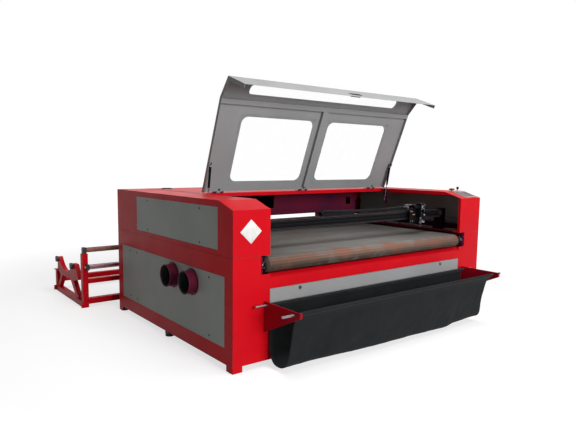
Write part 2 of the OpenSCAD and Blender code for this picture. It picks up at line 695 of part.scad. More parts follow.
// Gantry
module gantry_beam() machine() color(dark) {
    difference() {
        hollow([-beam_x, beam_y[0], beam_z[0]], [beam_x, beam_y[1], beam_z[1]], 0, 4);
        rod_y(beam_y[0] - eps, beam_y[1] + eps, x_pulley_x, x_axis_z, 9);
    }
    rod_y(beam_y[0] - 16, beam_y[0], -x_pulley_x, x_axis_z, 4);
    l = tower_x - 5;
    block([-l, beam_y[0] - x_rail_d, x_axis_z - x_rail_h / 2], [l, beam_y[0], x_axis_z + x_rail_h / 2]);
}
module gantry_ends() machine() {
    color(dark) both() {
        hollow([inner_x[0], beam_y[0] - 10, block_top], [inner_x[1], beam_y[1] + 10, beam_z[0]], 1, 6);
        clamp_z = drive_z - pulley_r - gap;
        block([inner_x[1], gantry_y - 15, clamp_z], [drive_x + 7, gantry_y + 15, clamp_z + 14]);
    }
    color(steel) both() difference() {
        block([track_x - 22, beam_y[0] - 20, deck_top + 4], [track_x + 22, beam_y[1] + 20, block_top]);
        block([track_x - track_w / 2 - gap, beam_y[0] - 30, deck_top],
              [track_x + track_w / 2 + gap, beam_y[1] + 30, deck_top + 20 + gap]);
    }
    color(dark) {
        difference() {
            translate([x_pulley_x, beam_y[1], x_axis_z]) block([-32, 0, -36], [32, 4, 36]);
            rod_y(beam_y[1] - eps, beam_y[1] + 5, x_pulley_x, x_axis_z, 7);
        }
        translate([x_pulley_x, beam_y[1] + 4, x_axis_z]) block([-28, 0, -28], [28, 76, 28]);
        block([-track_x - 20, head_y - 12, beam_z[1]], [-track_x + 20, beam_y[1], beam_z[1] + 5]);
        translate([-track_x, head_y, optic_h]) rotate([0, 0, -45]) block([-24, -5, -27], [24, 5, 27]);
    }
}
module x_belt() machine() color(dark) difference() {
    l = 2 * x_pulley_x;
    r = x_pulley_r + gap;
    translate([-x_pulley_x, belt_y[1], x_axis_z]) rotate([90, 0, 0])
        linear_extrude(belt_y[1] - belt_y[0]) stadium([0, 0], l, 0, r + timing_t);
    translate([-x_pulley_x, belt_y[1] + eps, x_axis_z]) rotate([90, 0, 0])
        linear_extrude(belt_y[1] - belt_y[0] + 2 * eps) stadium([0, 0], l, 0, r);
}
module x_pulley_right() machine() color(steel) {
    rod_y(belt_y[0] - 1, belt_y[1] + 1, x_pulley_x, x_axis_z, x_pulley_r);
    rod_y(belt_y[1], beam_y[1] + 3.7, x_pulley_x, x_axis_z, 4);
}
module x_pulley_left() machine() color(steel) difference() {
    rod_y(belt_y[0] - 1, belt_y[1] + 1, -x_pulley_x, x_axis_z, x_pulley_r);
    rod_y(belt_y[0] - 5, belt_y[1] + 5, -x_pulley_x, x_axis_z, 4 + fit);
}
// Cable chain, as it lies with the head where it is drawn
module drag_chain() machine() color(dark) {
    z = beam_z[1];
    h = chain_link_h;
    block([chain_end_x, chain_y[0], z], [0, chain_y[1], z + h]);
    block([chain_end_x, chain_y[0], z + 2 * chain_r - h], [head_x + 40, chain_y[1], z + 2 * chain_r]);
    translate([chain_end_x, chain_y[0], z + chain_r]) rotate([-90, 0, 0]) difference() {
        cylinder(r = chain_r, h = chain_y[1] - chain_y[0]);
        translate([0, 0, -eps]) cylinder(r = chain_r - h, h = chain_y[1] - chain_y[0] + 2 * eps);
        translate([0, -50, -eps]) cube([100, 100, 100]);
    }
}
module carriage() machine() color(dark) translate([head_x, 0, 0]) {
    arm_z = beam_z[1] + 2 * chain_r + gap;
    w = carriage_w / 2;
    block([-w, carriage_y[0], beam_z[0] - 25], [w, carriage_y[1], beam_z[1] + 12]);
    block([-40, carriage_y[0], beam_z[1] + 12], [40, carriage_y[1], arm_z + 4]);
    block([-40, carriage_y[0], arm_z], [40, chain_y[1], arm_z + 4]);
    clamp_z = x_axis_z + x_pulley_r + gap + timing_t;
    block([-20, carriage_y[1], clamp_z], [20, belt_y[1], clamp_z + 8]);
    difference() {
        block([-30, carriage_y[1], x_axis_z - 16], [30, beam_y[0] - 4, x_axis_z + 16]);
        block([-31, beam_y[0] - x_rail_d - gap, x_axis_z - x_rail_h / 2 - gap],
              [31, beam_y[0], x_axis_z + x_rail_h / 2 + gap]);
    }
}
module head_block() machine() color(steel) translate([head_x, 0, 0]) {
    clamp_z = [850, 885];
    difference() {
        block([-24, head_y - 24, clamp_z[0]], [24, carriage_y[0], clamp_z[1]]);
        rod_z(clamp_z[0] - eps, clamp_z[1] + eps, 0, head_y, lens_r + fit);
    }
    for (x = [-24, 18]) block([x, head_y - 20, clamp_z[1]], [x + 6, head_y + 20, optic_h - 27]);
    difference() {
        block([-24, head_y - 22, optic_h - 27], [24, carriage_y[0], optic_h + 27]);
        rod_x(-25, 0, head_y, optic_h, 10);
        rod_z(optic_h - 28, optic_h, 0, head_y, 10);
    }
    difference() {
        rod_x(-stub_l, -24, head_y, optic_h, 12);
        rod_x(-stub_l - eps, -23, head_y, optic_h, 9);
    }
}
module lens_tube() machine() color(steel) translate([head_x, head_y, 0]) difference() {
    union() {
        rod_z(797, 888, 0, 0, lens_r);
        rod_z(801, 815, 0, 0, lens_r + 4);
        translate([0, 0, 770]) cylinder(r1 = 4, r2 = lens_r, h = 27);
    }
    rod_z(765, 892, 0, 0, 2);
}

// Lid, drawn shut and turned open
module lid_shell() machine() color(grey) lid_pose() {
    t = sheet_t;
    k = t * tan(slope / 2);
    skin = [[lid_rear_y, lid_top], [lid_kink_y, lid_top], [lid_nose_y, lid_nose_h],
            [lid_nose_y, lid_nose_h - flange_h], [lid_nose_y + t, lid_nose_h - flange_h],
            [lid_nose_y + t, lid_nose_h + t * tan(slope) - t / cos(slope)],
            [lid_kink_y + k, lid_top - t], [lid_rear_y, lid_top - t]];
    difference() {
        union() {
            along_x(-lid_half, lid_half) polygon(skin);
            both() along_x(lid_half - t, lid_half)
                polygon([[lid_rear_y, lid_top], [lid_kink_y, lid_top], [lid_nose_y, lid_nose_h],
                         [lid_nose_y, lid_nose_h - flange_h],
                         [lid_nose_y + skirt_h, lid_nose_h - flange_h],
                         [lid_nose_y + skirt_h, lid_nose_h - skirt_h],
                         [lid_kink_y, lid_top - skirt_h], [lid_rear_y, lid_top - skirt_h]]);
        }
        for (s = [-1, 1])
            translate([s * (window_gap + window_w) / 2, window_rear_y - window_l / 2, lid_top - 9])
                linear_extrude(20) rounded([window_w, window_l], window_r);
        translate([0, lid_nose_y, lid_nose_h]) rotate([slope, 0, 0])
            translate([0, slope_l / 2, -9]) linear_extrude(20) rounded(slot_window, 28);
        translate([handle_x, lid_nose_y - 5, lid_nose_h - 146]) rotate([-90, 0, 0])
            linear_extrude(15) square([98, 26], center = true);
    }
    rib = [lid_top - t - rib_h, lid_top - t];
    hollow([-28, lid_kink_y + 36, rib[0]], [28, lid_rear_y - 30, rib[1]], 1, 2);
    hollow([-lid_half + t, lid_kink_y + 1, rib[0]], [lid_half - t, lid_kink_y + 36, rib[1]], 0, 2);
}
module window_panes() machine() color([0.8, 0.85, 0.9, 0.3]) lid_pose() {
    z = lid_top - sheet_t - pane_t;
    for (s = [-1, 1])
        translate([s * (window_gap + window_w + 10) / 2, window_rear_y - window_l / 2 + 6, z])
            block([-window_w / 2 - 18, -window_l / 2 - 28, 0],
                  [window_w / 2 + 18, window_l / 2 + 24, pane_t]);
    translate([0, lid_nose_y, lid_nose_h]) rotate([slope, 0, 0])
        block([-slot_window[0] / 2 - 25, 14, -sheet_t - pane_t],
              [slot_window[0] / 2 + 25, slope_l - 26, -sheet_t]);
}
module lid_handle() machine() color(dark) lid_pose()
    translate([handle_x, lid_nose_y, lid_nose_h - 146]) difference() {
        union() {
            block([-56, -2, -19], [56, 0, 19]);
            block([-48, 0, -12], [48, 18, 12]);
        }
        block([-45, -3, -9], [45, 16, 9]);
    }
knuckle_l = 30;
module lid_hinges() machine() lid_pose() {
    color(dark) for (x = hinge_xs) difference() {
        union() {
            block([x - knuckle_l / 2, hinge_y - 50, lid_top], [x + knuckle_l / 2, hinge_y, lid_top + 3]);
            rod_x(x - knuckle_l / 2, x + knuckle_l / 2, hinge_y, hinge_z, hinge_r);
        }
        rod_x(x - 40, x + 40, hinge_y, hinge_z, pin_r + fit);
    }
    color(steel) both() {
        block([lid_half - sheet_t - 6, strut_lid[0] - 14, strut_lid[1] - 12],
              [lid_half - sheet_t, strut_lid[0] + 14, lid_top - sheet_t]);
        rod_x(strut_x - 8, lid_half - sheet_t, strut_lid[0], strut_lid[1], 4);
    }
}
module lid_mounts() machine() {
    color(dark) for (x = hinge_xs) {
        for (s = [-1, 1]) difference() {
            union() {
                translate([x + s * 31, 0, 0])
                    block([-15, hinge_y, top_h], [15, hinge_y + 46, top_h + 3]);
                rod_x(x + s * 31 - 15, x + s * 31 + 15, hinge_y, hinge_z, hinge_r);
            }
            rod_x(x - 60, x + 60, hinge_y, hinge_z, pin_r + fit);
        }
        rod_x(x - 47, x + 47, hinge_y, hinge_z, pin_r);
    }
    color(steel) both() {
        block([tower_x - 4, strut_low[0] - 24, strut_low[1] - 14],
              [tower_x, strut_low[0] + 24, top_h - sheet_t]);
        rod_x(strut_x + 6, tower_x - 3, strut_low[0], strut_low[1], 4);
    }
}
// Gas struts: drawn along +Y from the upper pivot and turned to the lower one
module strut_place() {
    translate([0, strut_top[0], strut_top[1]]) rotate([strut_turn, 0, 0]) children();
}
module strut_tubes() machine() color(dark) both() strut_place() {
    difference() {
        rod_x(strut_x - 5, strut_x + 5, 0, 0, 9);
        rod_x(strut_x - 9, strut_x + 9, 0, 0, 4 + fit);
    }
    difference() {
        union() {
            rod_y(8.6, 20, strut_x, 0, 4);
            rod_y(20, 20 + strut_tube_l, strut_x, 0, strut_r);
        }
        rod_y(26, 30 + strut_tube_l, strut_x, 0, strut_rod_r + fit);
    }
}
module strut_rods() machine() color(steel) both() strut_place() {
    rod_y(strut_l - strut_tube_l - 10, strut_l - 6, strut_x, 0, strut_rod_r);
    rod_x(strut_x - 5, strut_x + 5, strut_l, 0, 8);
}

// Trough
module trough_brackets() machine() color(red) both() {
    tip_z = [rod_h + 20 - bracket_tip_h, rod_h + 20];
    difference() {
        along_x(bracket_x - bracket_t / 2, bracket_x + bracket_t / 2)
            polygon([[0, rod_h - bracket_drop], [0, tip_z[1]], [-trough_reach, tip_z[1]],
                     [-trough_reach, tip_z[0]]]);
        for (y = rod_y) rod_x(bracket_x - 9, bracket_x + 9, y, rod_h, rod_r + fit);
    }
    block([bracket_x - 40, -4, rod_h - 165], [bracket_x, 0, rod_h + 15]);
    block([bracket_x - 16, -trough_reach, tip_z[0]], [bracket_x, -trough_reach + 4, tip_z[1]]);
}
module trough_rods() machine() color(steel)
    for (y = rod_y) rod_x(-rod_end_x, rod_end_x, y, rod_h, rod_r);
// One face of the cloth between its hems, side is 1 or -1
function cloth_face(side) = let (last = len(cloth_path) - 1) [
    for (i = [0:last])
        let (run = cloth_path[min(i + 1, last)] - cloth_path[max(i - 1, 0)])
            cloth_path[i] + side * cloth_t / 2 * [-run[1], run[0]] / norm(run)];
module trough_cloth() machine() color([0.1, 0.1, 0.11]) along_x(-cloth_half, cloth_half) {
    back = cloth_face(1);
    front = cloth_face(-1);
    polygon([each back, for (i = [len(front) - 1:-1:0]) front[i]]);
    for (y = rod_y) translate([y, rod_h]) difference() {
        circle(hem_r);
        circle(hem_r - cloth_t);
    }
}

// Feeder
module cradle() {
    low = 190;
    difference() {
        polygon([[horn_y[0], low + 36], [horn_y[0] + 85, horn_h - 8], [horn_y[0] + 105, horn_h],
                 [horn_y[1] - 25, horn_h], [horn_y[1] - 10, horn_h - 8], [horn_y[1], low + 36],
                 [horn_y[1] - 85, low], [horn_y[0] + 150, low]]);
        translate([cradle_y, cradle_z]) circle(cradle_r);
    }
    polygon([[horn_y[0], tube_w], [horn_y[0] + 80, tube_w], [horn_y[0] + 235, low + 2],
             [horn_y[0] + 145, low + 2]]);
    polygon([[horn_y[1] - 40, tube_w], [horn_y[1], tube_w], [horn_y[1] - 105, low + 2],
             [horn_y[1] - 165, low + 2]]);
}
module feeder_end() {
    x = [feeder_x - tube_w, feeder_x];
    hollow([x[0], feeder_y, 0], [x[1], feeder_y + tube_w, post_h], 2);
    hollow([x[0], feeder_y + tube_w, 0], [x[1], feeder_far, tube_w], 1);
    hollow([x[0], feeder_far - tube_w, tube_w], [x[1], feeder_far, 215], 2);
    along_x(x[0] + 5, x[1] - 5) cradle();
    for (s = [-1, 1]) rod_x(x[1] - 20, x[1] + 20, cradle_y + s * wheel_dy, wheel_z, 6);
}
module feeder_frame() machine() color(red) {
    x = feeder_x - tube_w;
    both() feeder_end();
    hollow([-x, feeder_y, 30], [x, feeder_y + tube_w, 80], 0);
    hollow([-x, feeder_y + 5, 213], [x, feeder_y + 45, 253], 0);
    hollow([-x, feeder_far - tube_w, 90], [x, feeder_far, 140], 0);
}
module feed_roller(at, half) {
    rod_x(-half, half, at[0], at[1], feed_r);
    rod_x(-feeder_x + 12, feeder_x - 12, at[0], at[1], feed_shaft_r);
}
module feed_roller_upper() machine() color([0.5, 0.35, 0.32]) feed_roller(feed_upper, feeder_x - 44);
module feed_roller_lower() machine() color([0.6, 0.45, 0.45]) feed_roller(feed_lower, feeder_x - 50);
module wheels(side) machine() color(steel) both() difference() {
    rod_x(feeder_x + 1, feeder_x + 1 + wheel_t, cradle_y + side * wheel_dy, wheel_z, wheel_r);
    rod_x(feeder_x - 9, feeder_x + 30, cradle_y + side * wheel_dy, wheel_z, 6 + fit);
}
module cradle_wheels_near() wheels(-1);
module cradle_wheels_far() wheels(1);

base_frame();
foot_pads();
tower_left();
tower_right();
side_left();
side_right();
front_rails();
front_panel();
rear_sheet();
rear_panels();
rear_top_plate();
tube_tray();
side_panels();
panel_screws();
control_panel();
switch_rings();
estop_button();
key_switch();
lock_left();
lock_right();
exhaust_box();
exhaust_ducts();
laser_tube();
tube_mounts();
electronics();
conveyor_plates();
bed_frame();
mesh_belt();
roller_front();
roller_rear();
bearing_blocks();
drive_motors();
y_rails();
y_belts();
sync_shaft();
y_idlers();
gantry_beam();
gantry_ends();
x_belt();
x_pulley_right();
x_pulley_left();
drag_chain();
carriage();
head_block();
lens_tube();
lid_shell();
window_panes();
lid_handle();
lid_hinges();
lid_mounts();
strut_tubes();
strut_rods();
trough_brackets();
trough_rods();
trough_cloth();
feeder_frame();
feed_roller_upper();
feed_roller_lower();
cradle_wheels_near();
cradle_wheels_far();
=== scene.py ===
import math
import bmesh
import bpy
from mathutils import Matrix, Vector, noise


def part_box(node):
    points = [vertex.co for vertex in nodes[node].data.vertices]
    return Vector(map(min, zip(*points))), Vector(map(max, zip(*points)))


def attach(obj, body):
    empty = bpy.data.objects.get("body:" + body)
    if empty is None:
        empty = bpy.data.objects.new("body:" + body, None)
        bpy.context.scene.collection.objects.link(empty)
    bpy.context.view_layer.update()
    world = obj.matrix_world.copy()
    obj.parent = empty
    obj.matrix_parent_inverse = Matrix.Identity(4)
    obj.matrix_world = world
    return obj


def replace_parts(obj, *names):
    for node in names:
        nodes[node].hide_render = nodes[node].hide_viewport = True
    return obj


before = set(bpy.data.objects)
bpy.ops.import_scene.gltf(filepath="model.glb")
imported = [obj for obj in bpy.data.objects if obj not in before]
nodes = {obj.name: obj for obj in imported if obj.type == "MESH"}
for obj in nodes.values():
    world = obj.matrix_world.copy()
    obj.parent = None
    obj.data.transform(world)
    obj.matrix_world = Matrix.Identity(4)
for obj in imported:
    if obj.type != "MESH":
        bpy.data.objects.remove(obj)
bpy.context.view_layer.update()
mm = 0.001
deg = math.radians


def low(name):
    return Vector(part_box(name)[0])


def high(name):
    return Vector(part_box(name)[1])


halfWidth = high("tower_right").x      # the cabinet's main planes, read from the frame
frontY = low("tower_right").y
topZ = high("rear_top_plate").z
towerX = high("rear_top_plate").x
print("frame loaded:", len(nodes), "nodes")


# small tools for materials

def toLinear(hexCode):
    channels = [int(hexCode[i:i + 2], 16) / 255 for i in (1, 3, 5)]
    return [c / 12.92 if c <= 0.04045 else ((c + 0.055) / 1.055) ** 2.4 for c in channels] + [1.0]


def perMetre(sizeMm):
    return 1000 / sizeMm               # texture scale for a feature of that size


def addNode(tree, kind, inputs=None, give=0, stops=None, **settings):
    # one node with its settings, its inputs as values or links, and a ramp's stops; gives back the
    # output asked for, or all of them for None
    node = tree.nodes.new("ShaderNode" + kind)
    for key, value in settings.items():
        setattr(node, key, value)
    for key, value in (inputs or {}).items():
        if isinstance(value, bpy.types.NodeSocket):
            tree.links.new(value, node.inputs[key])
        else:
            node.inputs[key].default_value = value
    if stops:
        elements = node.color_ramp.elements
        while len(elements) < len(stops):
            elements.new(0.5)
        for element, (at, tone) in zip(elements, stops):
            element.position = at
            element.color = toLinear(tone) if isinstance(tone, str) else [tone] * 3 + [1]
    return node.outputs if give is None else node.outputs[give]


def openMaterial(name, coordinates="Object"):
    mat = bpy.data.materials.new(name)
    mat.use_nodes = True
    mat.node_tree.nodes.clear()
    return mat, mat.node_tree, addNode(mat.node_tree, "TexCoord", give=coordinates)


def closeMaterial(mat, inputs):
    shader = addNode(mat.node_tree, "BsdfPrincipled", inputs)
    addNode(mat.node_tree, "OutputMaterial", {"Surface": shader}, None)
    return mat


def patches(tree, place, sizeMm, detail, stops, rough=0.5):
    # cloudy patches of that size, blended from the tones or numbers in stops
    cloud = addNode(tree, "TexNoise", {"Scale": perMetre(sizeMm), "Detail": detail, "Roughness": rough,
                                       "Vector": place})
    return addNode(tree, "ValToRGB", {"Fac": cloud}, stops=stops)


def grain(tree, place, sizeMm, detail, strength, depthMm):
    # a relief of soft grains of that size
    height = addNode(tree, "TexNoise", {"Scale": perMetre(sizeMm), "Detail": detail, "Vector": place})
    return addNode(tree, "Bump", {"Strength": strength, "Distance": depthMm * mm, "Height": height})


# materials, each named for what it is and how it was made; a colour mix takes its share at input 0 and its
# two colours at 6 and 7, and gives its result at output 2

def powderCoat(name, colour, shade, pale, peelMm=4.0, rough=0.36, shine=0.07, shadeBox=None):
    # sprayed and baked powder paint: faint orange peel, a soft gloss that only shows at a low angle,
    # thinner and paler on the edges, a little dust and a few rubbed patches, and inside the box given by
    # its middle and half size a dark brown painted shade, for the shaded inside of the cutting bay
    mat, tree, place = openMaterial(name)
    base = patches(tree, place, 420, 4, [(0.35, shade), (0.65, colour)])
    bent = addNode(tree, "Bevel", {"Radius": 2.2 * mm}, samples=4)
    flat = addNode(tree, "NewGeometry", give="Normal")
    facing = addNode(tree, "VectorMath", {0: bent, 1: flat}, "Value", operation="DOT_PRODUCT")
    edge = addNode(tree, "ValToRGB", {"Fac": facing}, stops=[(0.86, 1.0), (0.995, 0.0)])
    scuff = patches(tree, place, 18, 5, [(0.42, 0.15), (0.62, 0.75)], 0.6)
    wear = addNode(tree, "Math", {0: edge, 1: scuff}, operation="MULTIPLY")
    fleck = patches(tree, place, 2.5, 2, [(0.66, 0.0), (0.8, 0.22)])
    for share in (wear, fleck):
        base = addNode(tree, "Mix", {0: share, 6: base, 7: toLinear(pale)}, 2, data_type="RGBA")
    if shadeBox:
        middle, half = shadeBox
        inside = place                 # ends up below zero inside the box, with sharp ends across
        for step, other in (("SUBTRACT", middle), ("ABSOLUTE", (0, 0, 0)), ("SUBTRACT", half),
                            ("MULTIPLY", (12, 1, 1))):
            inside = addNode(tree, "VectorMath", {0: inside, 1: other}, operation=step)
        x, y, z = addNode(tree, "SeparateXYZ", {"Vector": inside}, None)
        depth = addNode(tree, "Math", {0: x, 1: y}, operation="MAXIMUM")
        depth = addNode(tree, "Math", {0: depth, 1: z}, operation="MAXIMUM")
        # painted shade: inside the bay the paint is blended towards dark brown, for the shaded inside
        paintedShade = addNode(tree, "MapRange", {0: depth, 1: 0.0, 2: -12 * mm, 4: 0.85})
        base = addNode(tree, "Mix", {0: paintedShade, 6: base, 7: toLinear("#2c1018")}, 2, data_type="RGBA")
    smear = patches(tree, place, 150, 5, [(0.3, rough - 0.05), (0.75, rough + 0.09)], 0.65)
    peel = grain(tree, place, peelMm, 2, 0.10, 0.35)
    return closeMaterial(mat, {"Specular IOR Level": shine, "Base Color": base, "Roughness": smear,
                               "Normal": peel})


def turnedSteel(name, colour, shade, rough=0.3, lineMm=0.9, stretch=(1, 0.02, 1)):
    # bare metal as it left the brush, the lathe or the mould: fine lines along the axis with the small
    # stretch, or an even grain where all three are 1, and a few dull patches
    mat, tree, place = openMaterial(name)
    drawn = addNode(tree, "Mapping", {"Scale": stretch, "Vector": place})
    lines = addNode(tree, "TexNoise", {"Scale": perMetre(lineMm), "Detail": 2, "Roughness": 0.6,
                                       "Vector": drawn})
    base = addNode(tree, "ValToRGB", {"Fac": lines}, stops=[(0.3, shade), (0.7, colour)])
    dull = patches(tree, place, 60, 4, [(0.3, rough - 0.06), (0.75, rough + 0.12)])
    grooves = addNode(tree, "Bump", {"Strength": 0.12, "Distance": 0.06 * mm, "Height": lines})
    return closeMaterial(mat, {"Metallic": 1.0, "Base Color": base, "Roughness": dull, "Normal": grooves})


def blackFinish(name, colour, shade, rough=0.38, grainMm=1.6, shine=0.14):
    # black anodised or enamelled metal: nearly even, with fine grain and rubbed patches
    mat, tree, place = openMaterial(name)
    base = patches(tree, place, 70, 5, [(0.35, shade), (0.7, colour)], 0.6)
    rubbed = patches(tree, place, 35, 4, [(0.3, rough - 0.08), (0.7, rough + 0.1)])
    return closeMaterial(mat, {"Specular IOR Level": shine, "Base Color": base, "Roughness": rubbed,
                               "Normal": grain(tree, place, grainMm, 2, 0.12, 0.1)})


def mouldedPlastic(name, colour, shade, rough=0.45, grainMm=1.1, shine=0.3):
    # injection moulded plastic: spark-eroded grain and a slight unevenness in its gloss
    mat, tree, place = openMaterial(name)
    base = patches(tree, place, 50, 3, [(0.35, shade), (0.65, colour)])
    gloss = patches(tree, place, 25, 4, [(0.3, rough - 0.05), (0.7, rough + 0.07)])
    return closeMaterial(mat, {"Specular IOR Level": shine, "Base Color": base, "Roughness": gloss,
                               "Normal": grain(tree, place, grainMm, 1, 0.15, 0.08)})


def castPane(name, colour, haze):
    # cast acrylic window: a flat sheet that doesn't bend the view, so only its haze and a breath of dust
    # cover what is behind it
    mat, tree, place = openMaterial(name)
    dust = patches(tree, place, 90, 5, [(0.45, haze), (0.8, haze * 3)], 0.7)
    return closeMaterial(mat, {"Base Color": toLinear(colour), "Roughness": 0.08, "Specular IOR Level": 0.3,
                               "Alpha": dust})


def blownGlass(name, colour, ior, rough):
    # blown glass: clear, with a breath of dust that dulls its gloss in patches
    mat, tree, place = openMaterial(name)
    dust = patches(tree, place, 90, 5, [(0.45, rough), (0.8, rough + 0.03)], 0.7)
    return closeMaterial(mat, {"Base Color": toLinear(colour), "Transmission Weight": 1.0, "IOR": ior,
                               "Specular IOR Level": 0.0, "Roughness": dust})


def meshBelting(name, style):
    # glass-fibre mesh coated with PTFE: open square weave, drawn with 10 mm holes 20 mm apart so that it
    # shows, the holes painted dark as the shade seen through them, soft dull bands across it, sealed edges,
    # and over the front drum a band painted brown-orange at its top as painted reflection of the red paint
    # and darker lower down as painted shade, in brown blotches
    mat, tree, place = openMaterial(name, "UV")
    cell = addNode(tree, "Mapping", {"Scale": [perMetre(style["hole"])] * 3, "Vector": place})
    cellX, cellY = addNode(tree, "SeparateXYZ", {"Vector": cell}, None)[:2]
    ridges = [addNode(tree, "Math", {0: axis, 1: 1.0}, operation="PINGPONG") for axis in (cellX, cellY)]
    thread = addNode(tree, "Math", {0: ridges[0], 1: ridges[1]}, operation="MAXIMUM")
    closed = addNode(tree, "ValToRGB", {"Fac": thread}, stops=[(0.45, 0.0), (0.62, 1.0)])
    wide = addNode(tree, "Mapping", {"Scale": (0.16, 1, 1), "Vector": place})
    tint = patches(tree, wide, 170, 5, [(0.34, "#727470"), (0.5, "#7e7f7b"), (0.66, "#898884")], 0.6)
    stain = patches(tree, place, 260, 5, [(0.4, 0.0), (0.7, 0.45)], 0.65)
    tint = addNode(tree, "Mix", {0: stain, 6: tint, 7: toLinear("#807471")}, 2, data_type="RGBA")
    spot = addNode(tree, "TexCoord", give="Object")
    spotY, spotZ = addNode(tree, "SeparateXYZ", {"Vector": spot}, None)[1:]
    blotch = addNode(tree, "TexNoise", {"Scale": perMetre(110), "Detail": 3, "Vector": spot})
    blotch = addNode(tree, "MapRange", {0: blotch, 1: 0.32, 2: 0.68, 3: -0.5, 4: 0.5})
    ahead = addNode(tree, "MapRange", {0: spotY, 1: style["noseY"], 2: style["noseY"] - 60 * mm})
    ahead = addNode(tree, "Math", {0: blotch, 1: 0.7, 2: ahead}, operation="MULTIPLY_ADD")
    # darker lower down the front bend: painted shade; brown-orange at its top: painted reflection of the red
    # paint
    shadeDown = addNode(tree, "MapRange", {0: spotZ, 1: style["topZ"] - 6 * mm, 2: style["topZ"] - 82 * mm})
    noseReflectionAndShade = addNode(tree, "ValToRGB", {"Fac": shadeDown},
                     stops=[(0.0, "#85604f"), (0.4, "#7d5848"), (0.68, "#564a3d"), (1.0, "#3d392e")])
    rust = addNode(tree, "ValToRGB", {"Fac": blotch}, stops=[(0.0, 0.0), (0.3, 0.4)])
    noseReflectionAndShade = addNode(tree, "Mix", {0: rust, 6: noseReflectionAndShade, 7: toLinear("#93543f")}, 2, data_type="RGBA")
    noseBand = addNode(tree, "ValToRGB", {"Fac": ahead}, stops=[(0.1, 0.0), (0.8, 0.92)])
    tint = addNode(tree, "Mix", {0: noseBand, 6: tint, 7: noseReflectionAndShade}, 2, data_type="RGBA")
    # the holes painted dark: painted shade seen through the open weave
    holeShade = addNode(tree, "Mix", {0: 0.55, 6: toLinear("#2c2926"), 7: tint}, 2, data_type="RGBA")
    base = addNode(tree, "Mix", {0: closed, 6: holeShade, 7: tint}, 2, data_type="RGBA")
    across = addNode(tree, "SeparateXYZ", {"Vector": place}, "X")
    inner = addNode(tree, "Math", {0: across, 1: style["width"]}, operation="PINGPONG")
    inner = addNode(tree, "MapRange", {0: inner, 1: 0.0, 2: 40 * mm})
    seal = addNode(tree, "ValToRGB", {"Fac": inner}, stops=[(0.55, 1.0), (0.65, 0.0)])
    base = addNode(tree, "Mix", {0: seal, 6: base, 7: toLinear("#4a3c33")}, 2, data_type="RGBA")
    dull = patches(tree, place, 260, 5, [(0.3, 0.6), (0.8, 0.72)], 0.65)
    weave = addNode(tree, "Bump", {"Strength": 0.25, "Distance": 0.8 * mm, "Height": thread})
    return closeMaterial(mat, {"Specular IOR Level": 0.2, "Base Color": base, "Roughness": dull,
                               "Normal": weave})


def wovenCloth(name, colour, shade, pale, ribMm=15.08):
    # heavy coated polyester: plain weave, drawn as ribs 15 mm apart so that it shows, lint and rub marks
    mat, tree, place = openMaterial(name, "UV")
    waves = perMetre(ribMm) * 2 * math.pi / 20     # a wave texture has 20 radians to a unit
    threads = [addNode(tree, "TexWave", {"Scale": waves, "Distortion": 0.6, "Detail": 1.0,
                                         "Detail Scale": 2.0, "Vector": place}, "Fac", bands_direction=axis)
               for axis in ("X", "Y")]
    cross = addNode(tree, "Math", {0: threads[0], 1: threads[1]}, operation="MULTIPLY")
    base = patches(tree, place, 240, 6, [(0.3, shade), (0.6, colour), (0.85, pale)], 0.65)
    lint = patches(tree, place, 7, 3, [(0.62, 0.0), (0.8, 0.3)], 0.7)
    base = addNode(tree, "Mix", {0: lint, 6: base, 7: toLinear(pale)}, 2, data_type="RGBA")
    rubbed = patches(tree, place, 240, 6, [(0.3, 0.78), (0.8, 0.9)], 0.65)
    slub = grain(tree, place, 30, 4, 0.25, 1.0)
    weave = addNode(tree, "Bump", {"Strength": 0.35, "Distance": 0.5 * mm, "Height": cross, "Normal": slub})
    return closeMaterial(mat, {"Sheen Weight": 0.04, "Sheen Roughness": 0.5, "Specular IOR Level": 0.08,
                               "Base Color": base, "Roughness": rubbed, "Normal": weave})


# middle and half size of the box inside the cabinet, the cutting bay, where the red paint gets its painted
# shade
shadedBayBox = ((0, frontY + 880 * mm, 720 * mm), (1274 * mm, 820 * mm, 210 * mm))
beltLook = {
    "hole": 10,                        # in millimetres, with threads as wide between them
    "noseY": low("mesh_belt").y + 60 * mm,
    "topZ": high("mesh_belt").z,
    "width": high("mesh_belt").x - low("mesh_belt").x,
}
lengthwise, even = (0.02, 1, 1), (1, 1, 1)

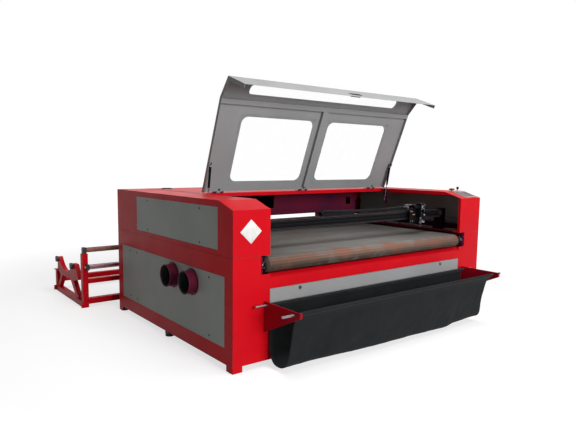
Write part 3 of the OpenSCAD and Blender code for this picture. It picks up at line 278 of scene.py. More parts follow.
# every finish: the record's slot, the recipe, and the recipe's colours and numbers
finishLooks = {
    # sheet steel and tube in powder paint
    "redPowder": ("red_paint", powderCoat, "#d40e1c", "#c80c1b", "#dd4650", 4.0, 0.36, 0.07, shadedBayBox),
    # the cabinet's red made darker as painted shade on the brackets' faces, with bright red edges as painted
    # highlight
    "bracketRed": ("red_paint", powderCoat, "#a30f20", "#8d1024", "#f02c3a"),
    # the cabinet's red made darker and purple: painted shade for the parts in the shaded inside
    "smokedRed": ("red_paint", powderCoat, "#6c1a30", "#421a35", "#7d3442", 4.0, 0.5, 0.06),
    # the cabinet's red made dark maroon: painted shade for the exhaust collars on the shaded side
    "ductMaroon": ("red_paint", powderCoat, "#6b1c37", "#51182f", "#86404f", 4.0, 0.45, 0.1),
    "greyPowder": ("grey_paint", powderCoat, "#9c9c9d", "#949495", "#bcbcbd", 3.0, 0.42, 0.15),
    "sideGrey": ("grey_paint", powderCoat, "#aeb2ac", "#a3a7a2", "#c4c7c3", 3.0, 0.42, 0.12),
    # enamelled, anodised or primed dark metal
    "blackEnamel": ("dark_metal", blackFinish, "#232325", "#171718"),
    "blackAnodised": ("dark_metal", blackFinish, "#131215", "#0d0c0f", 0.46, 0.8, 0.05),
    "framePrimer": ("dark_metal", blackFinish, "#3a3b3d", "#2b2c2d", 0.5, 3.0),
    "sootedSheet": ("dark_metal", blackFinish, "#1a1718", "#100e0f", 0.7, 6.0),
    # bare metal: brushed, drawn, ground, cast, burnished or galvanised
    "brushedSteel": ("plain_steel", turnedSteel, "#b4b6b9", "#85888c"),
    "drawnRod": ("plain_steel", turnedSteel, "#c3bfc2", "#8f8b90", 0.25, 0.7, lengthwise),
    # pink-tinted steel: painted reflection of the red paint round the trough rods and lower feed roller
    "rodSteel": ("plain_steel", turnedSteel, "#94868a", "#7b6d72", 0.38, 3.0, even),
    "rollerSteel": ("plain_steel", turnedSteel, "#a5878c", "#8c6d73", 0.3, 3.0, even),
    "castIron": ("plain_steel", turnedSteel, "#4a4748", "#363334", 0.5, 2.5, even),
    "burnishedBlack": ("plain_steel", turnedSteel, "#5b585d", "#434146", 0.2, 1.2, even),
    "copperFitting": ("plain_steel", turnedSteel, "#b8857a", "#95655a", 0.3, 0.8, even),
    "castAluminium": ("plain_steel", turnedSteel, "#a9abad", "#7f8285", 0.45, 2.0, even),
    "galvanisedSheet": ("plain_steel", turnedSteel, "#a2a7a9", "#7b8285", 0.42, 30, even),
    # moulded plastics and rubbers
    "nylonBlack": ("chain_plastic", mouldedPlastic, "#19181b", "#111013", 0.45, 1.1, 0.08),
    # pinkish grey, lighter than the black beam: painted highlight along its edges
    "slotStrip": ("chain_plastic", mouldedPlastic, "#5c4a50", "#473b40", 0.4),
    "panelPlastic": ("panel_plastic", mouldedPlastic, "#b9a79c", "#a89689", 0.4),
    "screenPlastic": ("panel_plastic", mouldedPlastic, "#5a5b63", "#494a52", 0.3, 0.6),
    "keyPlastic": ("panel_plastic", mouldedPlastic, "#77777c", "#67686d", 0.45, 0.6),
    "legendYellow": ("panel_plastic", mouldedPlastic, "#b98f22", "#a27a17", 0.4),
    "badgeWhite": ("panel_plastic", mouldedPlastic, "#f0efec", "#e6e4e0", 0.25),
    "buttonRed": ("button_plastic", mouldedPlastic, "#4a120f", "#350c0a", 0.3),
    "stitchThread": ("trough_fabric", mouldedPlastic, "#3d3e40", "#303133", 0.8, 0.4),
    "rubberBlack": ("belt_rubber", mouldedPlastic, "#1c1c1d", "#121213", 0.62, 1.8),
    "rollerRubber": ("roller_rubber", mouldedPlastic, "#a3736a", "#93655c", 0.5, 2.5, 0.2),
    # window, glass, belt and cloth
    "acrylicPane": ("pane_acrylic", castPane, "#eff2f4", 0.008),
    "tubeGlass": ("tube_glass", blownGlass, "#eaf4f2", 1.47, 0.015),
    "meshBelting": ("belt_mesh", meshBelting, beltLook),
    "troughCloth": ("trough_fabric", wovenCloth, "#242627", "#1b1d1f", "#323436"),
}
finishes = {name: (recipe(name, *look), slot) for name, (slot, recipe, *look) in finishLooks.items()}

nodeFinishes = {
    "redPowder": "tower_left tower_right side_left side_right front_rails rear_sheet rear_top_plate "
                 "feeder_frame",
    "bracketRed": "trough_brackets",
    "ductMaroon": "exhaust_ducts",
    "sideGrey": "side_panels",
    "smokedRed": "tube_tray conveyor_plates lid_mounts",
    "greyPowder": "front_panel rear_panels lid_shell lid_hinges",
    "blackEnamel": "tube_mounts drive_motors lock_left lock_right panel_screws roller_front "
                   "roller_rear",
    "blackAnodised": "gantry_beam gantry_ends carriage strut_tubes head_block",
    "framePrimer": "base_frame foot_pads",
    "brushedSteel": "switch_rings key_switch y_rails y_idlers x_pulley_right x_pulley_left",
    "castIron": "bearing_blocks cradle_wheels_near cradle_wheels_far",
    "drawnRod": "sync_shaft strut_rods",
    "rodSteel": "trough_rods",
    "rollerSteel": "feed_roller_lower",
    "castAluminium": "electronics",
    "burnishedBlack": "lens_tube",
    "galvanisedSheet": "exhaust_box",
    "sootedSheet": "bed_frame",
    "nylonBlack": "drag_chain lid_handle",
    "panelPlastic": "control_panel",
    "buttonRed": "estop_button",
    "rubberBlack": "y_belts x_belt",
    "rollerRubber": "feed_roller_upper",
    "acrylicPane": "window_panes",
    "tubeGlass": "laser_tube",
    "meshBelting": "mesh_belt",
    "troughCloth": "trough_cloth",
}
for finish, names in nodeFinishes.items():
    for name in names.split():
        nodes[name].data.materials.clear()
        nodes[name].data.materials.append(finishes[finish][0])
print("materials ready:", len(finishes))


# small tools for pieces

def roundEdges(bm, edges, radius, steps=2, clamp=False):
    bmesh.ops.bevel(bm, geom=edges, offset=radius, segments=steps, profile=0.5, affect="EDGES",
                    clamp_overlap=clamp, material=-1)


def addBox(bm, lowCorner, highCorner, edge=0.0, steps=2):
    lowCorner, highCorner = Vector(lowCorner), Vector(highCorner)
    verts = bmesh.ops.create_cube(bm, size=1.0)["verts"]
    bmesh.ops.scale(bm, verts=verts, vec=highCorner - lowCorner)
    bmesh.ops.translate(bm, verts=verts, vec=(lowCorner + highCorner) / 2)
    if edge:
        roundEdges(bm, list({e for v in verts for e in v.link_edges}), edge, steps, clamp=True)


def asMesh(bm):
    mesh = bpy.data.meshes.new("stamp")
    bm.to_mesh(mesh)
    bm.free()
    return mesh


def lathed(profile, steps):
    bm = bmesh.new()                   # profile of (radius, height) in millimetres, turned about Z
    verts = [bm.verts.new((r * mm, 0, z * mm)) for r, z in profile]
    edges = [bm.edges.new(pair) for pair in zip(verts, verts[1:])]
    if profile[0][0] > 0 and profile[-1][0] > 0:
        edges.append(bm.edges.new((verts[-1], verts[0])))
    bmesh.ops.spin(bm, geom=verts + edges, axis=(0, 0, 1), cent=(0, 0, 0), angle=2 * math.pi, steps=steps,
                   use_merge=True)
    bmesh.ops.remove_doubles(bm, verts=bm.verts[:], dist=1e-6)
    bmesh.ops.recalc_face_normals(bm, faces=bm.faces[:])
    return asMesh(bm)


def addCopy(bm, mesh, matrix):
    placed = mesh.copy()
    placed.transform(matrix)
    bm.from_mesh(placed)
    bpy.data.meshes.remove(placed)


def stamp(bm, mesh, at, towards=(0, 0, 1), turn=0.0):
    # a copy of mesh, its Z turned to point towards, placed at a point
    spin = Vector((0, 0, 1)).rotation_difference(Vector(towards)).to_matrix().to_4x4()
    addCopy(bm, mesh, Matrix.Translation(at) @ spin @ Matrix.Rotation(turn, 4, "Z"))


def addTurned(bm, profile, at, towards=(0, 0, 1), steps=40):
    stamp(bm, lathed(profile, steps), at, towards)


def screwHead(r, h):                   # domed head with a round socket, radius and height in millimetres
    return lathed([(0, 0), (r, 0), (r * 0.96, h * 0.4), (r * 0.72, h * 0.88), (r * 0.5, h),
                   (r * 0.46, h * 0.4), (0, h * 0.35)], 12)


def hexHead(r, h):                     # hexagon head on its washer
    bm = bmesh.new()
    stamp(bm, lathed([(0, 0), (r * 1.35, 0), (r * 1.35, h * 0.2), (0, h * 0.2)], 16), (0, 0, 0))
    stamp(bm, lathed([(0, h * 0.2), (r, h * 0.2), (r, h * 0.88), (r * 0.88, h), (0, h)], 6), (0, 0, 0))
    return asMesh(bm)


def knob(r, h, ribs=9):                # thumb nut with a coarse grip
    bm = bmesh.new()
    outline = [(0, 0), (r * 0.9, 0), (r, h * 0.12), (r, h * 0.8), (r * 0.86, h), (0, h)]
    stamp(bm, lathed(outline, 18), (0, 0, 0))
    for i in range(ribs):
        a = i * 2 * math.pi / ribs
        out = Vector((r * math.cos(a), r * math.sin(a), 0))
        addBox(bm, (out * 0.9 + Vector((-0.5, -0.5, h * 0.15))) * mm,
               (out * 0.98 + Vector((0.5, 0.5, h * 0.78))) * mm)
    return asMesh(bm)


def fromFace(x, y, z):                 # millimetres from the middle, the front face and the floor
    return Vector((x * mm, frontY + y * mm, z * mm))


def addPlate(bm, lowMm, highMm, edge, matrix):
    plate = bmesh.new()
    addBox(plate, Vector(lowMm) * mm, Vector(highMm) * mm, edge * mm)
    addCopy(bm, asMesh(plate), matrix)


def newVerts(made):
    return [g for g in made["geom"] if isinstance(g, bmesh.types.BMVert)]


def solidsOf(name):
    # the low and high corner of each separate solid in a node, in order of place
    bm = bmesh.new()
    bm.from_mesh(nodes[name].data)
    bmesh.ops.remove_doubles(bm, verts=bm.verts[:], dist=1e-5)
    boxes, seen = [], set()
    for start in bm.verts:
        if start in seen:
            continue
        seen.add(start)
        group, queue = [], [start]
        while queue:
            vert = queue.pop()
            group.append(vert.co.copy())
            for edge in vert.link_edges:
                other = edge.other_vert(vert)
                if other not in seen:
                    seen.add(other)
                    queue.append(other)
        boxes.append((Vector([min(co[i] for co in group) for i in range(3)]),
                      Vector([max(co[i] for co in group) for i in range(3)])))
    bm.free()
    return sorted(boxes, key=lambda box: [round(c, 4) for c in box[0]])


def outerFace(lo, hi):
    # the side of the machine that a solid is on, and the middle of its outward face
    side = 1 if lo.x > 0 else -1
    return side, Vector((hi.x if side > 0 else lo.x, (lo.y + hi.y) / 2, (lo.z + hi.z) / 2))


def finishPiece(bm, name, finish, body, sharp=38, recalc=True):
    if recalc:
        bmesh.ops.recalc_face_normals(bm, faces=bm.faces[:])
    mesh = bpy.data.meshes.new(name)
    bm.to_mesh(mesh)
    bm.free()
    for face in mesh.polygons:
        face.use_smooth = True
    mesh.set_sharp_from_angle(angle=deg(sharp))
    mesh.materials.append(finishes[finish][0])
    piece = bpy.data.objects.new(name, mesh)
    bpy.context.collection.objects.link(piece)
    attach(piece, body)
    return piece


# the lid and the sloped tower fronts, drawn level and turned into place
lidStyle = {
    "hinge": (860, 1060),              # its pin, from the front face and the floor
    "open": 69,                        # degrees
    "top": 1056,
    "nose": (-22, 1004),
    "slope": 18.004,                   # degrees
    "towerFront": 1000,
}
hingeAt = fromFace(0, *lidStyle["hinge"])
lidSlope = Matrix.Rotation(deg(lidStyle["slope"]), 4, "X")
lidPlace = (Matrix.Translation(hingeAt) @ Matrix.Rotation(-deg(lidStyle["open"]), 4, "X")
            @ Matrix.Translation(-hingeAt) @ Matrix.Translation((0, frontY, 0)))
nosePlace = lidPlace @ Matrix.Translation((0, lidStyle["nose"][0] * mm, lidStyle["nose"][1] * mm)) @ lidSlope
panelPlace = Matrix.Translation(((towerX + halfWidth) / 2, frontY, lidStyle["towerFront"] * mm)) @ lidSlope


# trough cloth: hems over both rods and a slack bag between them

clothStyle = {
    "hemRadius": 10.0,                 # rod radius, a little air and the cloth, in millimetres
    "frontSeam": (-58, 22),            # direction in degrees and distance of the hem's seam from its rod
    "frontOverlap": (1.6, 1.0),        # of the hem's free edge, back and up from the bag's first point
    "rearWrap": (-12, 245),            # degrees of the rear hem round its rod
    "rearEdge": (6.6, -21),            # the rear hem's free edge, from the rod
    # middle of the cloth between its hems, from the front face and the floor
    "bag": [(-283.3, 386.3), (-258, 345), (-243, 290), (-229, 222), (-214, 150), (-199, 92),
            (-178, 53), (-148, 31), (-108, 24), (-68, 30), (-41.4, 50), (-27.4, 84), (-23.4, 150),
            (-22, 260), (-21.6, 372)],
    "thickness": 1.4 * mm,
    "columns": 260,
    "rowLength": 9 * mm,
    "foldDepth": 6 * mm,
    "creaseDepth": 2.2 * mm,
    "tautBelow": (12 * mm, 170 * mm),  # folds start this far under the rods and are full this much lower
    "floorZone": (200 * mm, 180 * mm),  # the bag's bottom: full below the first height, gone this much higher
    "sag": 4 * mm,
    "step": (0.63, 14 * mm, 13 * mm),  # where the bottom steps up to the right, how softly and how high
    "belly": (26 * mm, 11 * mm),       # how much further forward and down its middle hangs
    "bellySpan": ((-0.9, 0.8), (0.45, 0.5)),  # start and length of its rise and of its fall
    "corner": (18 * mm, 12 * mm),      # how far the lower fold is pulled out square at the right end
    "cornerAt": ((-185 * mm, 60 * mm), (45 * mm, 90 * mm)),  # its middle and size, back and up
    "cornerSpan": (0.2, 0.7),
    "stitchPitch": 9 * mm,
    "stitchRows": [((-284.6, 385.6), (0, -0.84, -0.54)), ((-20.6, 378), (0, 1, 0))],  # place and facing
}


def smoothLine(points, steps):         # a curve through every point
    out = []
    for i in range(len(points) - 1):
        a, b, c, d = (points[max(0, min(len(points) - 1, k))] for k in (i - 1, i, i + 1, i + 2))
        for s in range(steps):
            t = s / steps
            out.append(0.5 * (2 * b + (c - a) * t + (2 * a - 5 * b + 4 * c - d) * t * t
                              + (3 * b - a - 3 * c + d) * t ** 3))
    return out + [points[-1]]


def clothPath(style):
    frontRod, rearRod = ((lo + hi) / 2 for lo, hi in solidsOf("trough_rods"))
    r = style["hemRadius"] * mm
    points = []

    def arc(centre, start, end, count):
        for i in range(count + 1):
            a = deg(start + (end - start) * i / count)
            points.append(Vector((0, centre.y - frontY + r * math.cos(a), centre.z + r * math.sin(a))))

    seamAngle, seamReach = style["frontSeam"]
    half = math.degrees(math.acos(style["hemRadius"] / seamReach))
    bag = [Vector((0, y * mm, z * mm)) for y, z in style["bag"]]
    points.append(bag[0] + Vector((0, *style["frontOverlap"])) * mm)
    arc(frontRod, seamAngle + half, seamAngle + 360 - half, 16)
    points.extend(smoothLine(bag, 6))
    arc(rearRod, *style["rearWrap"], 14)
    points.append(Vector((0, rearRod.y - frontY, rearRod.z)) + Vector((0, *style["rearEdge"])) * mm)
    return points


def resample(points, step):
    total = sum((b - a).length for a, b in zip(points, points[1:]))
    count = round(total / step)
    out, travelled, target = [], 0.0, 0.0
    for a, b in zip(points, points[1:]):
        span = (b - a).length
        while target <= travelled + span + 1e-9 and len(out) <= count:
            out.append(a.lerp(b, min(1.0, (target - travelled) / span) if span else 0))
            target += total / count
        travelled += span
    return out, total


def clamped(value):
    return max(0.0, min(1.0, value))


def smoothRise(x, start, span):
    t = clamped((x - start) / span)
    return t * t * (3 - 2 * t)


def makeCloth(style):
    path, total = resample(clothPath(style), style["rowLength"])
    x0, x1 = low("trough_cloth").x, high("trough_cloth").x
    columns, rows = style["columns"], len(path) - 1
    bm = bmesh.new()
    bmesh.ops.create_grid(bm, x_segments=columns, y_segments=rows, size=0.5, calc_uvs=False)
    uvs = bm.loops.layers.uv.new("UVMap")
    for face in bm.faces:
        for loop in face.loops:
            loop[uvs].uv = ((loop.vert.co.x + 0.5) * (x1 - x0), (loop.vert.co.y + 0.5) * total)
    rodZ = (low("trough_rods").z + high("trough_rods").z) / 2
    taut, slackReach = style["tautBelow"]
    floorZ, floorReach = style["floorZone"]
    stepX, stepWidth, stepHeight = style["step"]
    rise, fall = style["bellySpan"]
    (cornerY, cornerDeep), (cornerZ, cornerTall) = style["cornerAt"]
    for vert in bm.verts:
        u, v = vert.co.x + 0.5, vert.co.y + 0.5
        x, here = x0 + u * (x1 - x0), path[round(v * rows)]
        ripple = noise.noise(Vector((x * 3.1, v * 1.3, 4.0)))
        ripple += 0.5 * noise.noise(Vector((x * 8.3, v * 2.2, 9.0)))
        crease = noise.noise(Vector((x * 17.0 + v * 5, v * 11.0, 2.0)))
        waviness = noise.noise(Vector((x * 1.7, 0.0, 7.0)))
        slack = clamped((rodZ - here.z - taut) / slackReach)
        push = (style["foldDepth"] * ripple + style["creaseDepth"] * crease) * slack
        deep = clamped(1 - (here.z - floorZ) / floorReach)
        stepUp = 1 / (1 + math.exp(-(x - stepX) / stepWidth))
        lift = (style["sag"] * (0.4 + waviness) + stepHeight * stepUp) * deep
        forward = clamped((-here.y - 30 * mm) / (150 * mm))
        belly = forward * deep * smoothRise(x, *rise) * (1 - smoothRise(x, *fall))
        fold = math.exp(-((here.y - cornerY) / cornerDeep) ** 2 - ((here.z - cornerZ) / cornerTall) ** 2)
        fold *= smoothRise(x, *style["cornerSpan"])
        ahead, down = (belly * b + fold * c for b, c in zip(style["belly"], style["corner"]))
        vert.co = (x, frontY + here.y + push - ahead, here.z + lift - down)
    bmesh.ops.recalc_face_normals(bm, faces=bm.faces[:])
    piece = finishPiece(bm, "troughCloth", "troughCloth", "cabinet", 180, recalc=False)
    solid = piece.modifiers.new("thickness", "SOLIDIFY")
    solid.thickness = style["thickness"]
    solid.offset = 0
    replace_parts(piece, "trough_cloth")

    threads, dash = bmesh.new(), bmesh.new()
    addBox(dash, (-0.45 * mm, -3 * mm, -0.35 * mm), (0.45 * mm, 3 * mm, 0.35 * mm), 0.3 * mm, 1)
    dash = asMesh(dash)
    for i in range(round((x1 - x0 - 20 * mm) / style["stitchPitch"])):
        x = x0 + 10 * mm + i * style["stitchPitch"]
        for (back, up), facing in style["stitchRows"]:
            stamp(threads, dash, (x, frontY + back * mm, up * mm), facing, deg(90))
    stitches = finishPiece(threads, "hemStitches", "stitchThread", "cabinet")
    print("trough cloth:", round(x1 - x0, 3), "by", round(total, 3), "m")


makeCloth(clothStyle)


# conveyor belt: one loop of open mesh, joined by wire lacing

beltStyle = {
    "arcSteps": 28,
    "thickness": 2.2 * mm,
    "lacingPitch": 12 * mm,
    "lacingY": 1180 * mm,              # where the joint lies, behind the front face
    "wire": (0.7, 4),                  # radius and half length of one stitch, in millimetres
}


def makeBelt(style):
    lo, hi = low("mesh_belt"), high("mesh_belt")
    radius = (hi.z - lo.z) / 2
    midZ, y0, y1 = (hi.z + lo.z) / 2, lo.y + radius, hi.y - radius
    points = []
    for cy, start in ((y0, 90), (y1, 270)):
        for i in range(style["arcSteps"] + 1):
            a = deg(start + 180 * i / style["arcSteps"])
            points.append(Vector((lo.x, cy + radius * math.cos(a), midZ + radius * math.sin(a))))
    bm = bmesh.new()
    verts = [bm.verts.new(p) for p in points]
    count = len(points)
    edges = [bm.edges.new((verts[i], verts[(i + 1) % count])) for i in range(count)]
    lengths, run = [], 0.0
    for i in range(count):
        lengths.append(run)
        run += (points[(i + 1) % count] - points[i]).length
    made = bmesh.ops.extrude_edge_only(bm, edges=edges)
    bmesh.ops.translate(bm, verts=newVerts(made), vec=(hi.x - lo.x, 0, 0))
    uvs = bm.loops.layers.uv.new("UVMap")
    bm.verts.index_update()
    order = {v.index: i for i, v in enumerate(verts)}
    for face in bm.faces:
        near = [loop.vert for loop in face.loops if loop.vert.index in order]
        wraps = {order[v.index] for v in near} == {0, count - 1}
        for loop in face.loops:
            match = min(near, key=lambda v: (v.co.yz - loop.vert.co.yz).length)
            at = order[match.index]
            loop[uvs].uv = (loop.vert.co.x - lo.x, run if wraps and at == 0 else lengths[at])
    bmesh.ops.recalc_face_normals(bm, faces=bm.faces[:])
    piece = finishPiece(bm, "meshBelt", "meshBelting", "cabinet", 60, recalc=False)
    solid = piece.modifiers.new("thickness", "SOLIDIFY")
    solid.thickness = style["thickness"]
    solid.offset = -1
    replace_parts(piece, "mesh_belt")

    lacing = bmesh.new()
    wireR, wireHalf = style["wire"]
    wire = lathed([(0, -wireHalf), (wireR, -wireHalf), (wireR, wireHalf), (0, wireHalf)], 6)
    x = lo.x + 10 * mm
    while x < hi.x - 10 * mm:
        stamp(lacing, wire, (x, frontY + style["lacingY"], hi.z - 0.2 * mm), (0.25, 1, 0))
        x += style["lacingPitch"]
    finishPiece(lacing, "beltLacing", "brushedSteel", "cabinet")
    print("belt: loop of", round(run, 3), "m")


makeBelt(beltStyle)


# cabinet: panel screws, blank badge, dark rubber strips over the top seams as painted shade of their gaps,
# cable grommet and rubber feet

cabinetStyle = {
    "badge": (-1144, 868, 158, 149),   # middle across and up, width and height
    "badgeRise": (2, 0.7),             # how far it stands out and its rounded edge
    "seam": (868, 1796, 4, 1.2),       # front and rear end, width and height of the dark rubber strips, painted shade of the seam gaps
    "louvreScrews": [(x, z, 0.4) for x in (-925, -310, 310, 925) for z in (165, 565)],  # sunk 0.4 mm
    "upperScrews": [(x, 1016, 0) for x in (-960, -320, 320, 960)],
    "grommetAt": (-875, 1670, 1052),
    "grommet": [(33, -10), (33, 4), (35, 6.5), (41, 7), (45, 5.5), (46.5, 3), (46.5, 0), (36, 0), (36, -10)],
    "footRing": [(29, 0), (31.5, 0), (32.5, 1.5), (32.5, 5), (31, 7), (29, 7)],
}


def makeCabinetTrim(style):
    bm = bmesh.new()
    for lo, hi in solidsOf("panel_screws"):
        side = 1 if lo.x > 0 else -1
        head = screwHead((hi.y - lo.y) / 2 / mm, 3)
        stamp(bm, head, (lo.x if side > 0 else hi.x, (lo.y + hi.y) / 2, (lo.z + hi.z) / 2), (side, 0, 0))
    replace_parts(finishPiece(bm, "panelScrews", "blackEnamel", "cabinet"), "panel_screws")
    bm, head = bmesh.new(), screwHead(6, 3)
    for x, z, sunk in style["louvreScrews"] + style["upperScrews"]:
        stamp(bm, head, (x * mm, high("rear_panels").y - sunk * mm, z * mm), (0, 1, 0))
    finishPiece(bm, "rearScrews", "blackEnamel", "cabinet")

    across, up, wide, tall = style["badge"]
    rise, edge = style["badgeRise"]
    bm = bmesh.new()
    made = bmesh.ops.create_circle(bm, cap_ends=True, segments=4, radius=0.5)
    bmesh.ops.scale(bm, verts=made["verts"], vec=(wide * mm, tall * mm, 1))
    raised = bmesh.ops.extrude_face_region(bm, geom=bm.faces[:])
    bmesh.ops.translate(bm, verts=newVerts(raised), vec=(0, 0, rise * mm))
    roundEdges(bm, bm.edges[:], edge * mm)
    bmesh.ops.transform(bm, verts=bm.verts[:],
                        matrix=Matrix.Translation(fromFace(across, 0, up)) @ Matrix.Rotation(deg(90), 4, "X"))
    finishPiece(bm, "blankBadge", "badgeWhite", "cabinet")

    y0, y1, wide, tall = style["seam"]
    # dark strips between the towers and the top plate: painted shade of the seam gaps
    bm, deck = bmesh.new(), topZ / mm
    for side in (-1, 1):
        x = side * towerX / mm
        addBox(bm, fromFace(x - wide / 2, y0, deck), fromFace(x + wide / 2, y1, deck + tall), 0.4 * mm)
    finishPiece(bm, "topSeamShade", "rubberBlack", "cabinet")
    bm = bmesh.new()
    addTurned(bm, style["grommet"], fromFace(*style["grommetAt"]))
    finishPiece(bm, "cableGrommet", "rubberBlack", "cabinet")
    bm = bmesh.new()
    for lo, hi in solidsOf("foot_pads"):
        addTurned(bm, style["footRing"], ((lo.x + hi.x) / 2, (lo.y + hi.y) / 2, 0))
    finishPiece(bm, "footRubbers", "rubberBlack", "cabinet")
    print("cabinet trim ready")


makeCabinetTrim(cabinetStyle)


# exhaust collars: rolled mouth, a dark lining that is painted shade, and a riveted flange

ductStyle = {
    "rolledEdge": [(75.6, -5), (75.6, 0.4), (77, 1.6), (79.6, 1.4), (80.6, -0.6), (80.3, -3.4), (78.6, -5)],
    "lining": [(75.9, 0), (74.8, 0), (74.8, -320), (75.9, -320)],
    "rivets": (6, 85, 3.2, 1.6),       # how many, on what radius, and their radius and height
    "flange": 59 * mm,                 # from the mouth to the riveted flange
    "steps": 56,
}


def makeDucts(style):
    rims, shadeLinings, rivets = bmesh.new(), bmesh.new(), bmesh.new()
    count, reach, r, h = style["rivets"]
    head = lathed([(0, 0), (r, 0), (r * 0.9, h * 0.6), (0, h)], 12)
    for lo, hi in solidsOf("exhaust_ducts"):
        mouth = Vector((lo.x, (lo.y + hi.y) / 2, (lo.z + hi.z) / 2))
        addTurned(rims, style["rolledEdge"], mouth, (-1, 0, 0), style["steps"])
        # a dark grey sheet inside each mouth: painted shade of the duct's inside
        addTurned(shadeLinings, style["lining"], mouth, (-1, 0, 0), style["steps"])
        for i in range(count):
            a = deg(30) + i * 2 * math.pi / count
            offset = Vector((style["flange"], reach * mm * math.cos(a), reach * mm * math.sin(a)))
            stamp(rivets, head, mouth + offset, (-1, 0, 0))
    finishPiece(rims, "ductRims", "ductMaroon", "cabinet")
    finishPiece(shadeLinings, "ductShadeLinings", "framePrimer", "cabinet")
    finishPiece(rivets, "ductRivets", "ductMaroon", "cabinet")
    print("exhaust collars ready")


makeDucts(ductStyle)


# controls: screen and keys in the panel, stop button, key switch and door locks

controlStyle = {
    "screen": (-34, 36, 52, 137),      # low and high corner on the slope, in millimetres
    "keyField": (56, 100),             # left and right edge of the plate beside the screen
    "keys": (64, 44, 14, 15, 3, 6),    # first key across and up, pitch both ways, columns and rows
    "keySize": (10, 10),
    "corners": [(x, y) for x in (-45, 109) for y in (23, 149)],
    "legend": [(20.4, 0), (27, 0), (27, 0.8), (26.4, 1.2), (20.4, 1.2)],
    "gripRibs": 30,
    "capRing": [(9, 0), (13.5, 0), (13, 0.7), (9.5, 0.7)],
    "keyNut": [(13.1, 0), (17, 0), (17, 2.6), (16, 3.4), (13.1, 3.4)],
    "keyBow": [(4, -2.4), (11.4, -2.4), (12.2, -1.6), (12.2, 1.6), (11.4, 2.4), (4, 2.4)],
    "lockHeight": 477,
    "lockRing": [(6.4, 0), (7.4, 0), (7.2, 0.5), (6.6, 0.5)],
}


def makePanel(style):
    x0, y0, x1, y1 = style["screen"]
    left, right = style["keyField"]
    bm = bmesh.new()
    addPlate(bm, (x0, y0, 2), (x1, y1, 3.4), 0.6, panelPlace)
    addPlate(bm, (left, y0, 2), (right, y1, 3.0), 0.5, panelPlace)
    finishPiece(bm, "panelScreen", "screenPlastic", "cabinet")
    bm = bmesh.new()
    keyX, keyY, pitchX, pitchY, columns, rows = style["keys"]
    wide, tall = style["keySize"]
    for i in range(columns):
        for j in range(rows):
            x, y = keyX + i * pitchX, keyY + j * pitchY
            addPlate(bm, (x - wide / 2, y, 2.9), (x + wide / 2, y + tall, 4.2), 0.7, panelPlace)
    finishPiece(bm, "panelKeys", "keyPlastic", "cabinet")
    bm = bmesh.new()
    for x, y in style["corners"]:
        stamp(bm, screwHead(3, 1.6), panelPlace @ Vector((x * mm, y * mm, 4 * mm)),
              panelPlace.to_3x3() @ Vector((0, 0, 1)))
    finishPiece(bm, "panelCornerScrews", "brushedSteel", "cabinet")


def makeSwitches(style):
    stop, cap = (low("estop_button") + high("estop_button")) / 2, high("estop_button").z
    bm = bmesh.new()
    addTurned(bm, style["legend"], (stop.x, stop.y, topZ))
    finishPiece(bm, "stopLegend", "legendYellow", "cabinet")
    bm, rib = bmesh.new(), bmesh.new()
    addBox(rib, (23.4 * mm, -0.8 * mm, -2.2 * mm), (24.6 * mm, 0.8 * mm, 2.2 * mm), 0.4 * mm, 1)
    rib = asMesh(rib)
    for i in range(style["gripRibs"]):
        stamp(bm, rib, (stop.x, stop.y, cap - 8.5 * mm), (0, 0, 1), i * 2 * math.pi / style["gripRibs"])
    addTurned(bm, style["capRing"], (stop.x, stop.y, cap - 0.9 * mm), steps=24)
    finishPiece(bm, "stopGrip", "buttonRed", "estop")

    key = (low("key_switch") + high("key_switch")) / 2
    bm = bmesh.new()
    addTurned(bm, style["keyNut"], (key.x, key.y, topZ), steps=6)
    finishPiece(bm, "keyNut", "brushedSteel", "cabinet")
    bm = bmesh.new()
    addTurned(bm, style["keyBow"], (key.x, key.y, high("key_switch").z - 11 * mm), (1, 0, 0), 28)
    finishPiece(bm, "keyBow", "nylonBlack", "key")
    for side in ("left", "right"):
        face = low("lock_" + side)
        at = Vector(((face.x + high("lock_" + side).x) / 2, face.y, style["lockHeight"] * mm))
        bm = bmesh.new()
        addBox(bm, at + Vector((-0.9, -0.5, -4)) * mm, at + Vector((0.9, 0.3, 4)) * mm, 0.2 * mm, 1)
        addTurned(bm, style["lockRing"], at, (0, -1, 0), 28)
        finishPiece(bm, side + "LockKeyway", "brushedSteel", side + "_lock")
    print("controls ready")


makePanel(controlStyle)
makeSwitches(controlStyle)


# conveyor: end caps, bolts and shaft collars of both drums, and the bearings' bolts

conveyorStyle = {
    "capBolts": (6, 34, 25),           # how many, on what radius, and the first one's angle
    "capGap": 10 * mm,                 # from the belt's edge to the drum's end
    "capInside": [(30, 1.4), (28, 0.5), (18, 0.5), (17, 3), (12.6, 3)],
    "collar": [(12.6, 0), (20, 0), (21, 1), (21, 13), (19.5, 15), (12.6, 15)],
    "collarInset": 24 * mm,            # from the side plate's outer face
    "bearingBolts": (-18, 18),
    "flangeDepth": 16 * mm,
}


